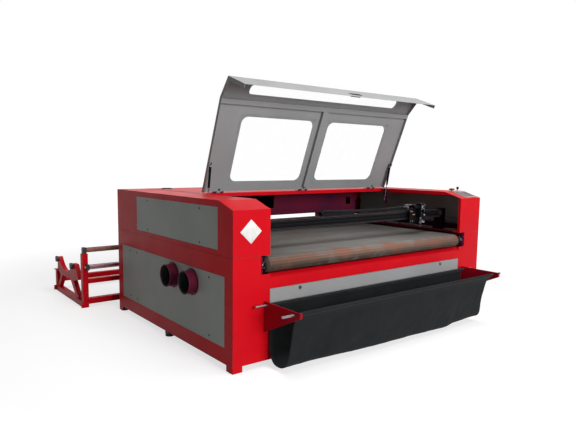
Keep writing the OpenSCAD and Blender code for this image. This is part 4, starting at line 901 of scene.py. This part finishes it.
def makeConveyorDetail(style):
    count, reach, first = style["capBolts"]
    sides = (-1, 1)
    plates = (low("conveyor_plates").x, high("conveyor_plates").x)
    caps = (low("mesh_belt").x - style["capGap"], high("mesh_belt").x + style["capGap"])
    for drum, body in (("roller_front", "front_drum"), ("roller_rear", "rear_drum")):
        middle = (low(drum) + high(drum)) / 2
        radius = (high(drum).z - low(drum).z) / 2 / mm
        bolts, faces, collars = bmesh.new(), bmesh.new(), bmesh.new()
        for end, cap, plate, side in zip((low(drum).x, high(drum).x), caps, plates, sides):
            stamp(bolts, hexHead(7, 5), (end, middle.y, middle.z), (side, 0, 0))
            for turn in range(count):
                a = deg(first + 360 / count * turn)
                offset = Vector((0, reach * mm * math.cos(a), reach * mm * math.sin(a)))
                stamp(bolts, hexHead(4.6, 3.6), Vector((cap + side * 1.3 * mm, middle.y, middle.z)) + offset,
                      (side, 0, 0))
            addTurned(faces, [(12.6, 0), (radius - 2, 0), (radius - 3, 1.2)] + style["capInside"],
                      (cap, middle.y, middle.z), (side, 0, 0))
            collarX = plate - side * style["collarInset"]
            addTurned(collars, style["collar"], (collarX, middle.y, middle.z), (side, 0, 0), 28)
            stamp(collars, screwHead(3, 3), (collarX + side * 8 * mm, middle.y, middle.z + 20.4 * mm))
        finishPiece(bolts, body + "Bolts", "brushedSteel", body)
        finishPiece(faces, body + "Caps", "blackEnamel", body)
        finishPiece(collars, body + "Collars", "brushedSteel", body)
    bm, head = bmesh.new(), hexHead(3.6, 3)
    for lo, hi in solidsOf("bearing_blocks"):
        # only the conveyor's own, which are low, narrow and inside the towers
        if hi.z < 0.7 and abs(lo.x) < 1.1 and hi.y - lo.y < 60 * mm:
            side, face = outerFace(lo, hi)
            for offset in style["bearingBolts"]:
                at = face + Vector((0, offset * mm, 0))
                stamp(bm, head, at, (side, 0, 0))
                stamp(bm, head, at - Vector((side * style["flangeDepth"], 0, 0)), (-side, 0, 0))
    finishPiece(bm, "bearingBolts", "brushedSteel", "cabinet")
    print("conveyor details ready")


makeConveyorDetail(conveyorStyle)


# gantry: profile slots, rail screws, cable chain of separate links and its bracket

gantryStyle = {
    "beamDepth": 60 * mm,
    "slotHalf": 1120 * mm,             # half the length of the front slots
    "rearSlotEnd": 1000 * mm,
    "slots": [(5, 2.4), (67, 2.4)],    # above the lower edge of the beam, and their height
    "topSlot": (4, 7),                 # its two edges, behind the beam's front
    "railPitch": 60,
    "xRail": (12, 862.5, 16),          # in front of the beam, up, and screws each side of the middle
    "railScrew": [(0, 0), (3.2, 0), (3.1, 0.12), (1.6, 0.12), (1.5, 0.02), (0, 0.02)],
    "chainPitch": 25.2,
    "chainSag": 15,                    # how far the upper run hangs in its middle
    "chainLowEnd": 0.0,                # where the lower run is anchored
    "link": (23, 17, 3),               # length, height and thickness of its plates
    "anchor": (4, 34, 2),              # left and right end and thickness of the bracket
    "anchorBolts": (26, 12),
}


def makeGantryTrim(style):
    bm = bmesh.new()
    rear, base, top = high("gantry_beam").y, low("gantry_beam").z, high("gantry_beam").z
    front, half = rear - style["beamDepth"], style["slotHalf"]
    raised = 0.5 * mm
    # slot strips lighter than the beam: painted highlight along its upper and lower edges
    for up, tall in style["slots"]:
        z0, z1 = base + up * mm, base + (up + tall) * mm
        addBox(bm, (-half, front - raised, z0), (half, front + raised, z1), 0.2 * mm, 1)
        addBox(bm, (-half, rear - raised, z0), (style["rearSlotEnd"], rear + raised, z1), 0.2 * mm, 1)
    near, far = style["topSlot"]
    addBox(bm, (-half, front + near * mm, top - raised), (half, front + far * mm, top + raised), 0.2 * mm, 1)
    finishPiece(bm, "beamSlots", "slotStrip", "gantry")
    bm, head = bmesh.new(), lathed(style["railScrew"], 10)
    ahead, up, count = style["xRail"]
    for i in range(-count, count + 1):
        stamp(bm, head, (i * style["railPitch"] * mm, front - ahead * mm, up * mm), (0, -1, 0))
    finishPiece(bm, "xRailScrews", "blackEnamel", "gantry")
    bm = bmesh.new()
    for lo, hi in solidsOf("y_rails"):
        for i in range(int((hi.y - lo.y) / (style["railPitch"] * mm))):
            stamp(bm, head, ((lo.x + hi.x) / 2, lo.y + (i + 0.5) * style["railPitch"] * mm, hi.z))
    finishPiece(bm, "yRailScrews", "blackEnamel", "cabinet")


def chainLink(style, deep):
    # two side plates and the bars that join them, with deep as half the chain's width
    half, tall, plate = (v * mm for v in style["link"])
    half /= 2
    link = bmesh.new()
    for side in (-1, 1):
        y = side * (deep - plate / 2)
        addBox(link, (-half - 1.5 * mm, y - plate / 2, -tall / 2 + 0.4 * mm),
               (half, y + plate / 2, tall / 2 - 0.4 * mm), 1.1 * mm, 1)
    for z in (-tall / 2 + 1.4 * mm, tall / 2 - 1.4 * mm):
        addBox(link, (-half * 0.62, -deep + plate * 0.7, z - 1.1 * mm),
               (half * 0.62, deep - plate * 0.7, z + 1.1 * mm), 0.5 * mm, 1)
    return asMesh(link)


def makeCableChain(style):
    lo, hi = low("drag_chain"), high("drag_chain")
    midY, midZ = (lo.y + hi.y) / 2, (lo.z + hi.z) / 2
    turnX = lo.x + (hi.z - lo.z) / 2
    arcR = (hi.z - lo.z) / 2 - style["link"][1] / 2 * mm
    link = chainLink(style, (hi.y - lo.y) / 2)
    straight, bend = hi.x - turnX, math.pi * arcR
    total = straight + bend + style["chainLowEnd"] - turnX
    count = int(total / (style["chainPitch"] * mm))
    depth = 4 * style["chainSag"] * mm
    bm = bmesh.new()
    for i in range(count):
        run = (i + 0.5) * total / count
        if run < straight:
            share = run / straight
            at = Vector((hi.x - run, midY, midZ + arcR - depth * share * (1 - share)))
            angle = math.atan(-depth * (1 - 2 * share) / straight)
        elif run < straight + bend:
            a = (run - straight) / arcR
            at, angle = Vector((turnX - arcR * math.sin(a), midY, midZ + arcR * math.cos(a))), -a
        else:
            at, angle = Vector((turnX + run - straight - bend, midY, midZ - arcR)), math.pi
        addCopy(bm, link, Matrix.Translation(at) @ Matrix.Rotation(angle, 4, "Y"))
    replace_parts(finishPiece(bm, "cableChain", "nylonBlack", "gantry"), "drag_chain")
    bm = bmesh.new()
    left, right, thick = (v * mm for v in style["anchor"])
    addBox(bm, (left, lo.y + 2 * mm, lo.z), (right, hi.y - 2 * mm, lo.z + thick), 0.5 * mm)
    boltX, boltY = (v * mm for v in style["anchorBolts"])
    for side in (-1, 1):
        stamp(bm, hexHead(3.2, 2.6), (boltX, midY + side * boltY, lo.z + thick))
    finishPiece(bm, "chainAnchor", "brushedSteel", "gantry")
    print("cable chain:", count, "links")


makeGantryTrim(gantryStyle)
makeCableChain(gantryStyle)


# cutting head: mirror plate with three adjusters, clamp and carriage screws, rings, air and gas fittings and
# the cable chain's clamp on the carriage

headStyle = {
    "axis": (24, 170, 932),            # the beam's, from the block's right side, the front face and the floor
    "plates": [((24, -21, -25), (29, 21, 25)), ((-23, -24, 27), (23, 20, 30))],  # corners from the axis
    "adjusters": [(-14, 14), (14, 14), (14, -14)],
    "frontRing": [(9, 0), (14, 0), (14, 3.4), (12.6, 4.4), (9.6, 4.4)],
    "stubRings": [602, 618, 634, 650],
    "stubRing": [(11.8, 0), (13.6, 0.6), (13.6, 4.4), (11.8, 5)],
    "carriageScrews": [(x, z) for x in (-86, -62, 62, 86) for z in (815, 895)],
    "gripRings": [815, 821, 827, 833],
    "gripRing": [(13.8, 0), (15.2, 0.5), (15.2, 2.8), (13.8, 3.3)],
    "nozzleTip": [(3.9, 0.6), (5.6, 0), (6.4, 1), (9.6, 11), (9.2, 12), (7.4, 12)],
    "gasBarb": [(0, -3), (4.6, -3), (4.6, 5), (3, 6), (3, 8), (3.8, 9), (2.9, 12), (3.6, 13), (2.6, 16),
                (0, 16)],
    "gasHeight": 808,
    "airFittings": [(160, 874), (184, 898)],
    "airBarb": [(0, 0), (6.5, 0), (6.5, 7), (4.6, 8), (4.6, 15), (5.6, 16), (5.6, 22), (3.2, 24), (3.2, 27),
                (0, 27)],
}


def makeHead(style):
    block = low("head_block")
    ahead, up, height = style["axis"]
    axis = fromFace(high("head_block").x / mm - ahead, up, height)
    bm = bmesh.new()
    for near, far in style["plates"]:
        addBox(bm, axis + Vector(near) * mm, axis + Vector(far) * mm, 1.2 * mm)
    finishPiece(bm, "mirrorPlate", "blackAnodised", "head")
    bm = bmesh.new()
    for y, z in style["adjusters"]:
        stamp(bm, knob(5.5, 9), axis + Vector((29, y, z)) * mm, (1, 0, 0))
    stamp(bm, knob(7, 10), axis + Vector((12, -24, -64.5)) * mm, (0, -1, 0))
    addTurned(bm, style["frontRing"], axis + Vector((0, -22, 0)) * mm, (0, -1, 0))
    for x in (-19, 19):
        for z in (-20, 20):
            stamp(bm, screwHead(3, 2.4), axis + Vector((x, -22, z)) * mm, (0, -1, 0))
    finishPiece(bm, "headScrews", "brushedSteel", "head")
    bm = bmesh.new()
    for x in style["stubRings"]:
        addTurned(bm, style["stubRing"], (x * mm, axis.y, axis.z), (1, 0, 0), 28)
    finishPiece(bm, "beamTubeRings", "blackAnodised", "head")
    left, front, top = low("carriage").x, low("carriage").y, high("carriage").z
    bm = bmesh.new()
    for x, z in style["carriageScrews"]:
        stamp(bm, screwHead(4.2, 3.4), (axis.x + x * mm, front, z * mm), (0, -1, 0))
    finishPiece(bm, "carriageScrews", "brushedSteel", "head")
    bm = bmesh.new()
    for z in style["gripRings"]:
        addTurned(bm, style["gripRing"], (axis.x, axis.y, z * mm), steps=36)
    finishPiece(bm, "lensGrip", "blackAnodised", "lens")
    bm = bmesh.new()
    addTurned(bm, style["nozzleTip"], (axis.x, axis.y, low("lens_tube").z), steps=32)
    addTurned(bm, style["gasBarb"], (axis.x + 12 * mm, axis.y - 12 * mm, style["gasHeight"] * mm),
              (0.7, -0.7, 0), 16)
    finishPiece(bm, "gasFitting", "brushedSteel", "lens")
    bm = bmesh.new()
    for y, z in style["airFittings"]:
        addTurned(bm, style["airBarb"], (block.x, frontY + y * mm, z * mm), (-1, 0, 0), 18)
    finishPiece(bm, "airFittings", "copperFitting", "head")

    bm, thick = bmesh.new(), 2.5 * mm  # the chain's clamp, an angle over the carriage's upper left edge
    y0, y1 = front + 12 * mm, front + 66 * mm
    addBox(bm, (left + 4 * mm, y0, top), (left + 44 * mm, y1, top + thick), 0.6 * mm)
    addBox(bm, (left - thick, y0, top - 34 * mm), (left, y1, top - 6 * mm), 0.6 * mm)
    for y in (22, 56):
        for x in (12, 34):
            stamp(bm, hexHead(4, 3), (left + x * mm, front + y * mm, top + thick))
        stamp(bm, hexHead(4, 3), (left - thick, front + y * mm, top - 20 * mm), (-1, 0, 0))
    finishPiece(bm, "chainClamp", "brushedSteel", "head")
    print("cutting head ready")


makeHead(headStyle)


# lid: rubber gaskets round the windows, pane screws, stop buffers and hinge screws

lidTrimStyle = {
    "window": (427, 516, 690, 508, 55),  # middle across and back, width, depth and corner radius
    "slot": (0, 84.1, 1552, 76, 28),
    "gasket": (11, 3),                 # width and height
    "paneFrame": (353, 250, 790),      # half width, front and rear row of the pane's screws
    "slotScrews": (7, 258, (28, 132)),  # how many, their pitch, and their two rows
    "stops": [(-845, 838), (0, 838), (845, 838)],
    "stop": [(0, 0), (8.5, 0), (8.5, 2), (7, 2.6), (6.4, 6.5), (4, 9.4), (0, 10.4)],
    "hinges": (-845, 0, 845),
    "lidScrews": [(x, y) for y in (-38, -22) for x in (-8, 8)],   # round each hinge, from its pin
    "bodyScrews": [(x, y) for x in (-31, 31) for y in (22, 36)],
}


def roundedLoop(bm, wide, tall, radius, steps=8):
    verts = []
    for cx, cy, start in ((1, 1, 0), (-1, 1, 90), (-1, -1, 180), (1, -1, 270)):
        for i in range(steps + 1):
            a = deg(start + 90 * i / steps)
            verts.append(bm.verts.new((cx * (wide / 2 - radius) + radius * math.cos(a),
                                       cy * (tall / 2 - radius) + radius * math.sin(a), 0)))
    return [bm.edges.new((verts[i], verts[(i + 1) % len(verts)])) for i in range(len(verts))]


def makeGasket(bm, opening, section, place):
    # a flat ring between two rounded outlines, raised and rounded over
    w, d, r = (v * mm for v in opening)
    wide, tall = (v * mm for v in section)
    ring = bmesh.new()
    inner = roundedLoop(ring, w + 2 * mm, d + 2 * mm, r + 1 * mm)
    outer = roundedLoop(ring, w + 2 * wide, d + 2 * wide, r + wide)
    bmesh.ops.bridge_loops(ring, edges=inner + outer)
    top = newVerts(bmesh.ops.extrude_face_region(ring, geom=ring.faces[:]))
    bmesh.ops.translate(ring, verts=top, vec=(0, 0, tall))
    bmesh.ops.recalc_face_normals(ring, faces=ring.faces[:])
    raised = set(top)
    rim = [e for e in ring.edges if e.verts[0] in raised and e.verts[1] in raised
           and any(abs(f.normal.z) < 0.5 for f in e.link_faces)]
    roundEdges(ring, rim, 1.1 * mm)
    addCopy(bm, asMesh(ring), place)


def makeLidTrim(style):
    up, noseUp = (place.to_3x3() @ Vector((0, 0, 1)) for place in (lidPlace, nosePlace))
    top = lidStyle["top"]
    windowX, windowY, *window = style["window"]
    slotX, slotY, *slot = style["slot"]
    bm = bmesh.new()
    for side in (-1, 1):
        makeGasket(bm, window, style["gasket"],
                   lidPlace @ Matrix.Translation((side * windowX * mm, windowY * mm, top * mm)))
    makeGasket(bm, slot, style["gasket"], nosePlace @ Matrix.Translation((slotX * mm, slotY * mm, 0)))
    finishPiece(bm, "windowGaskets", "rubberBlack", "lid")

    bm, head = bmesh.new(), screwHead(3.4, 2)
    half, front, rear = style["paneFrame"]
    for side in (-1, 1):
        left = side * (windowX + 5) - half
        spots = [(left + 2 * half * i / 5, y) for i in range(6) for y in (front, rear)]
        spots += [(x, front + (rear - front) * i / 4) for i in (1, 2, 3) for x in (left, left + 2 * half)]
        for x, y in spots:
            stamp(bm, head, lidPlace @ Vector((x * mm, y * mm, (top - 6) * mm)), -up)
    count, pitch, slotRows = style["slotScrews"]
    for i in range(count):
        for y in slotRows:
            x = pitch * (i - (count - 1) / 2)
            stamp(bm, head, nosePlace @ Vector((x * mm, y * mm, -6 * mm)), -noseUp)
    finishPiece(bm, "paneScrews", "brushedSteel", "lid")
    bm = bmesh.new()
    for x, y in style["stops"]:
        addTurned(bm, style["stop"], lidPlace @ Vector((x * mm, y * mm, (top - 2) * mm)), -up, 20)
    finishPiece(bm, "lidStops", "rubberBlack", "lid")

    pinY = lidStyle["hinge"][0]
    onLid, onBody, head = bmesh.new(), bmesh.new(), screwHead(3.6, 2)
    for hinge in style["hinges"]:
        for x, y in style["lidScrews"]:
            stamp(onLid, head, lidPlace @ Vector(((hinge + x) * mm, (pinY + y) * mm, (top + 3) * mm)), up)
        for x, y in style["bodyScrews"]:
            stamp(onBody, head, fromFace(hinge + x, pinY + y, top - 1))
    finishPiece(onLid, "hingeScrewsLid", "brushedSteel", "lid")
    finishPiece(onBody, "hingeScrewsBody", "brushedSteel", "cabinet")
    print("lid trim ready")


makeLidTrim(lidTrimStyle)


# gas struts: wiper collars, and the clips on their upper pins

strutStyle = {
    "x": 977 * mm,
    "top": (749.7186, 1274.7417),      # from the front face and the floor, with the lid open
    "foot": (805, 930),
    "collars": [(181, [(4.3, 0), (9.4, 0), (9.6, 1), (9.6, 7), (8.6, 9), (4.3, 9)]),
                (17, [(4.3, 0), (8, 0), (9.4, 2), (9.4, 5), (4.3, 5)])],
    "clip": [(4.2, -6), (6.2, -6), (6.2, -5), (4.2, -5)],
}


def makeStrutDetail(style):
    top, foot = fromFace(0, *style["top"]), fromFace(0, *style["foot"])
    along = (foot - top).normalized()
    collars, clips = bmesh.new(), bmesh.new()
    for side in (-1, 1):
        pin = Vector((side * style["x"], top.y, top.z))
        for at, profile in style["collars"]:
            addTurned(collars, profile, pin + along * at * mm, along, 28)
        addTurned(clips, style["clip"], pin, (1, 0, 0), 20)
    finishPiece(collars, "strutCollars", "brushedSteel", "strut_tube")
    finishPiece(clips, "strutClips", "brushedSteel", "strut_tube")
    print("gas struts ready")


makeStrutDetail(strutStyle)


# rear: pressed hoods over the louvres

louvreStyle = {
    "columns": (-568.5, 568.5),
    "first": 230,
    "pitch": 26,
    "count": 9,
    "half": 110,                       # half the width of a hood
    "depth": 8,
    "face": 542.1 * mm,                # the panel's outer face
}


def makeLouvres(style):
    hood = bmesh.new()
    w, d = style["half"] * mm, style["depth"] * mm
    outline = ((0, 2 * mm), (d, 3 * mm), (d * 0.82, 8 * mm), (d * 0.4, 13 * mm), (0, 15 * mm))
    end = hood.faces.new([hood.verts.new((-w, y, z)) for y, z in outline])
    far = newVerts(bmesh.ops.extrude_face_region(hood, geom=[end]))
    bmesh.ops.translate(hood, verts=far, vec=(2 * w, 0, 0))
    for vert in hood.verts:            # the ends slope in
        if vert.co.y > 0:
            vert.co.x -= math.copysign(vert.co.y * 0.9, vert.co.x)
    bmesh.ops.recalc_face_normals(hood, faces=hood.faces[:])
    roundEdges(hood, hood.edges[:], 0.8 * mm)
    hood = asMesh(hood)
    bm = bmesh.new()
    for x in style["columns"]:
        for i in range(style["count"]):
            stamp(bm, hood, (x * mm, style["face"], (style["first"] + style["pitch"] * i) * mm))
    finishPiece(bm, "louvreHoods", "greyPowder", "cabinet")
    print("louvres ready")


makeLouvres(louvreStyle)


# trough: bolts and welds of the brackets

troughStyle = {
    "boltX": 1013,
    "boltHeights": (262, 330, 398),
    "weldX": 1036.5,
    "welds": [(-4, 245, 418), (-341, 396, 423)],   # from the front face, and their lower and upper end
}


def weldBead(bm, start, end, radius=2.2, pitch=3.2):
    start, end = Vector(start), Vector(end)
    steps = max(2, round((end - start).length / (pitch * mm)))
    for i in range(steps):
        made = bmesh.ops.create_icosphere(bm, subdivisions=1, radius=radius * mm)
        bmesh.ops.translate(bm, verts=made["verts"], vec=start.lerp(end, (i + 0.5) / steps))


def makeTroughDetail(style):
    bolts, beads = bmesh.new(), bmesh.new()
    for side in (-1, 1):
        for z in style["boltHeights"]:
            stamp(bolts, hexHead(5, 4), fromFace(side * style["boltX"], -4, z), (0, -1, 0))
        for y, z0, z1 in style["welds"]:
            weldBead(beads, fromFace(side * style["weldX"], y, z0), fromFace(side * style["weldX"], y, z1))
    finishPiece(bolts, "bracketBolts", "brushedSteel", "cabinet")
    finishPiece(beads, "bracketWelds", "bracketRed", "cabinet", 180)
    print("trough details ready")


makeTroughDetail(troughStyle)


# feeder: end plates of the tubes, welds, wheel bolts and roller caps

feederStyle = {
    "tube": 50 * mm,                   # side of the square tubes
    "wheelCover": [(7, 0), (17, 0), (16.4, 1.2), (13, 0.6), (10, 1.2), (7, 1.2)],
    "wheelBand": [(27.8, 2), (28.3, 2.6), (28.3, 15.4), (27.8, 16)],
    "wheelWidth": 18 * mm,
    "capInside": [(12, 1.4), (11, 2.4), (8.2, 2.4)],
    "wheels": {"cradle_wheels_near": "near_wheels", "cradle_wheels_far": "far_wheels"},
    "rollers": [("feed_roller_upper", "upper_feed", 1481 * mm),
                ("feed_roller_lower", "lower_feed", 1475 * mm)],
}


def makeFeederFrame(style):
    plates, beads = bmesh.new(), bmesh.new()
    lo, hi = low("feeder_frame"), high("feeder_frame")
    tube = style["tube"]
    for side in (-1, 1):
        inner = side * (hi.x - tube)
        x0, x1 = sorted((side * hi.x, inner))
        # closing plates, each by its low and high corner: rear foot, rear post and front foot
        for y0, z0, y1, z1 in ((hi.y - 0.5 * mm, 1 * mm, hi.y + 2.5 * mm, 49 * mm),
                               (hi.y - 49 * mm, 214 * mm, hi.y - 1 * mm, 217.5 * mm),
                               (lo.y - 2.5 * mm, 1 * mm, lo.y + 0.5 * mm, 49 * mm)):
            addBox(plates, (x0 + 1 * mm, y0, z0), (x1 - 1 * mm, y1, z1), 1.2 * mm)
        # welds round the ends of the three cross tubes
        for y, z0, z1, wide in ((lo.y, 30, 80, tube), (lo.y + 5 * mm, 213, 253, 40 * mm),
                                (hi.y - tube, 90, 140, tube)):
            for z in (z0, z1):
                weldBead(beads, (inner, y, z * mm), (inner, y + wide, z * mm))
            for edgeY in (y, y + wide):
                weldBead(beads, (inner, edgeY, z0 * mm), (inner, edgeY, z1 * mm))
        for y in (lo.y + tube, hi.y - tube):
            weldBead(beads, (x0, y, tube), (x1, y, tube))
    finishPiece(plates, "tubeEndPlates", "redPowder", "cabinet")
    finishPiece(beads, "feederWelds", "redPowder", "cabinet", 180)


def makeFeederRollers(style):
    for name, body in style["wheels"].items():
        covers = bmesh.new()
        for lo, hi in solidsOf(name):
            side, face = outerFace(lo, hi)
            inner = face - Vector((side * style["wheelWidth"], 0, 0))
            addTurned(covers, style["wheelCover"], face, (side, 0, 0))
            addTurned(covers, style["wheelBand"], inner, (side, 0, 0))
        finishPiece(covers, body + "Covers", "castIron", body)
    for name, body, end in style["rollers"]:
        caps = bmesh.new()
        middle = (low(name) + high(name)) / 2
        radius = (high(name).z - low(name).z) / 2 / mm
        for side in (-1, 1):
            addTurned(caps, [(8.2, 0), (radius - 1, 0), (radius - 1.6, 1.4)] + style["capInside"],
                      (side * end, middle.y, middle.z), (side, 0, 0))
        finishPiece(caps, body + "Caps", "blackEnamel", body)


def makeWheelBolts(style):             # fixed in the frame, while their wheels turn
    bolts = bmesh.new()
    for name in style["wheels"]:
        for lo, hi in solidsOf(name):
            side, face = outerFace(lo, hi)
            stamp(bolts, hexHead(6.5, 4.5), face + Vector((side * 1 * mm, 0, 0)), (side, 0, 0))
    finishPiece(bolts, "wheelBolts", "brushedSteel", "cabinet")


makeFeederRollers(feederStyle)
makeFeederFrame(feederStyle)
makeWheelBolts(feederStyle)
print("feeder details ready")


# laser tube: electrodes behind the clear glass and a collar round each end

tubeStyle = {
    "electrode": (120, 190, 15, 16),   # its two ends from the tube's end, inner and outer radius
    "collar": [(12, -2), (21, -2), (22, 0), (22, 6), (20, 9), (12, 9)],
    "collarInset": 8 * mm,
}


def makeTubeDetail(style):
    near, far, inner, outer = style["electrode"]
    electrodes, collars = bmesh.new(), bmesh.new()
    middle = (low("laser_tube") + high("laser_tube")) / 2
    ring = [(inner, 0), (outer, 0), (outer, far - near), (inner, far - near)]
    for end, side, start in ((low("laser_tube").x, -1, near), (high("laser_tube").x, 1, -far)):
        addTurned(electrodes, ring, (end + start * mm, middle.y, middle.z), (1, 0, 0))
        inset = side * style["collarInset"]
        addTurned(collars, style["collar"], (end - inset, middle.y, middle.z), (side, 0, 0))
    finishPiece(electrodes, "tubeElectrodes", "brushedSteel", "cabinet")
    finishPiece(collars, "tubeEnds", "castAluminium", "cabinet")
    print("laser tube ready")


makeTubeDetail(tubeStyle)


# floor, lights and camera

studioStyle = {
    "floorColour": "#b2b2b2",
    "floorFade": (2.6, 5.5),           # metres from the machine over which the floor turns to plain white
    "floorGlow": 0.68,
    "floorHalf": 40,
    "ambient": 0.09,
    "aim": (0, 0, 0.7),
    "lamps": {                         # power, size and place
        "key": (700, 4.2, (-0.3, -10.4, 3.0)),
        "top": (250, 4.0, (0.0, -2.4, 6.2)),
    },
}
cameraStyle = {
    "place": (-2.9917, frontY - 2.608, 1.2711),
    "yaw": 35.832,                     # degrees from +Y towards +X
    "pitch": -6.364,
    "roll": 0.438,
    "lens": 33.42,
    "shiftX": 0.0556,
}


def directRays(tree):
    # 1 for a ray that shows the background: from the camera, or past glass or gloss
    light = addNode(tree, "LightPath", give=None)
    rays = addNode(tree, "Math", {0: light["Is Camera Ray"], 1: light["Is Glossy Ray"]}, operation="MAXIMUM")
    return addNode(tree, "Math", {0: rays, 1: light["Is Transmission Ray"]}, operation="MAXIMUM")


def makeStudio(style):
    world = bpy.data.worlds.new("studio")
    bpy.context.scene.world = world
    world.use_nodes = True
    tree = world.node_tree
    tree.nodes.clear()
    white = (1, 1, 1, 1)
    dim, plain = (addNode(tree, "Background", {"Color": white, "Strength": strength})
                  for strength in (style["ambient"], 1.0))
    mixed = addNode(tree, "MixShader", {0: directRays(tree), 1: dim, 2: plain})
    addNode(tree, "OutputWorld", {"Surface": mixed}, None)

    # painted floor that glows a little towards the camera, so that it turns to plain white further out
    mat, tree, place = openMaterial("paleFloor")
    near, far = style["floorFade"]
    reach = addNode(tree, "VectorMath", {0: place}, "Value", operation="LENGTH")
    fade = addNode(tree, "MapRange", {0: reach, 1: near, 2: far, 3: style["floorGlow"], 4: 1.0})
    glow = addNode(tree, "Math", {0: directRays(tree), 1: fade}, operation="MULTIPLY")
    closeMaterial(mat, {"Base Color": toLinear(style["floorColour"]), "Roughness": 0.9,
                        "Specular IOR Level": 0.0, "Emission Color": white, "Emission Strength": glow})
    bm = bmesh.new()
    bmesh.ops.create_grid(bm, x_segments=1, y_segments=1, size=style["floorHalf"])
    mesh = asMesh(bm)
    mesh.materials.append(mat)
    floor = bpy.data.objects.new("floor", mesh)
    floor.location.z = -0.5 * mm
    bpy.context.collection.objects.link(floor)
    for name, (power, size, place) in style["lamps"].items():
        lamp = bpy.data.lights.new(name, "AREA")
        lamp.energy, lamp.size = power, size
        holder = bpy.data.objects.new(name, lamp)
        holder.location = place
        holder.rotation_euler = (Vector(style["aim"]) - holder.location).to_track_quat("-Z", "Y").to_euler()
        bpy.context.collection.objects.link(holder)


def makeCamera(style):
    yaw, pitch, roll = (deg(style[k]) for k in ("yaw", "pitch", "roll"))
    ahead = Vector((math.sin(yaw) * math.cos(pitch), math.cos(yaw) * math.cos(pitch), math.sin(pitch)))
    side = Vector((math.cos(yaw), -math.sin(yaw), 0))
    up = side.cross(ahead)
    side, up = (side * math.cos(roll) + up * math.sin(roll), up * math.cos(roll) - side * math.sin(roll))
    camera = bpy.data.objects.new("camera", bpy.data.cameras.new("camera"))
    turn = Matrix((side, up, -ahead)).transposed().to_4x4()
    camera.matrix_world = Matrix.Translation(style["place"]) @ turn
    camera.data.lens = style["lens"]
    camera.data.shift_x = style["shiftX"]
    camera.data.clip_end = 100
    bpy.context.collection.objects.link(camera)
    bpy.context.scene.camera = camera


makeStudio(studioStyle)
makeCamera(cameraStyle)
bpy.context.scene.view_settings.view_transform = "Standard"
print("studio ready")
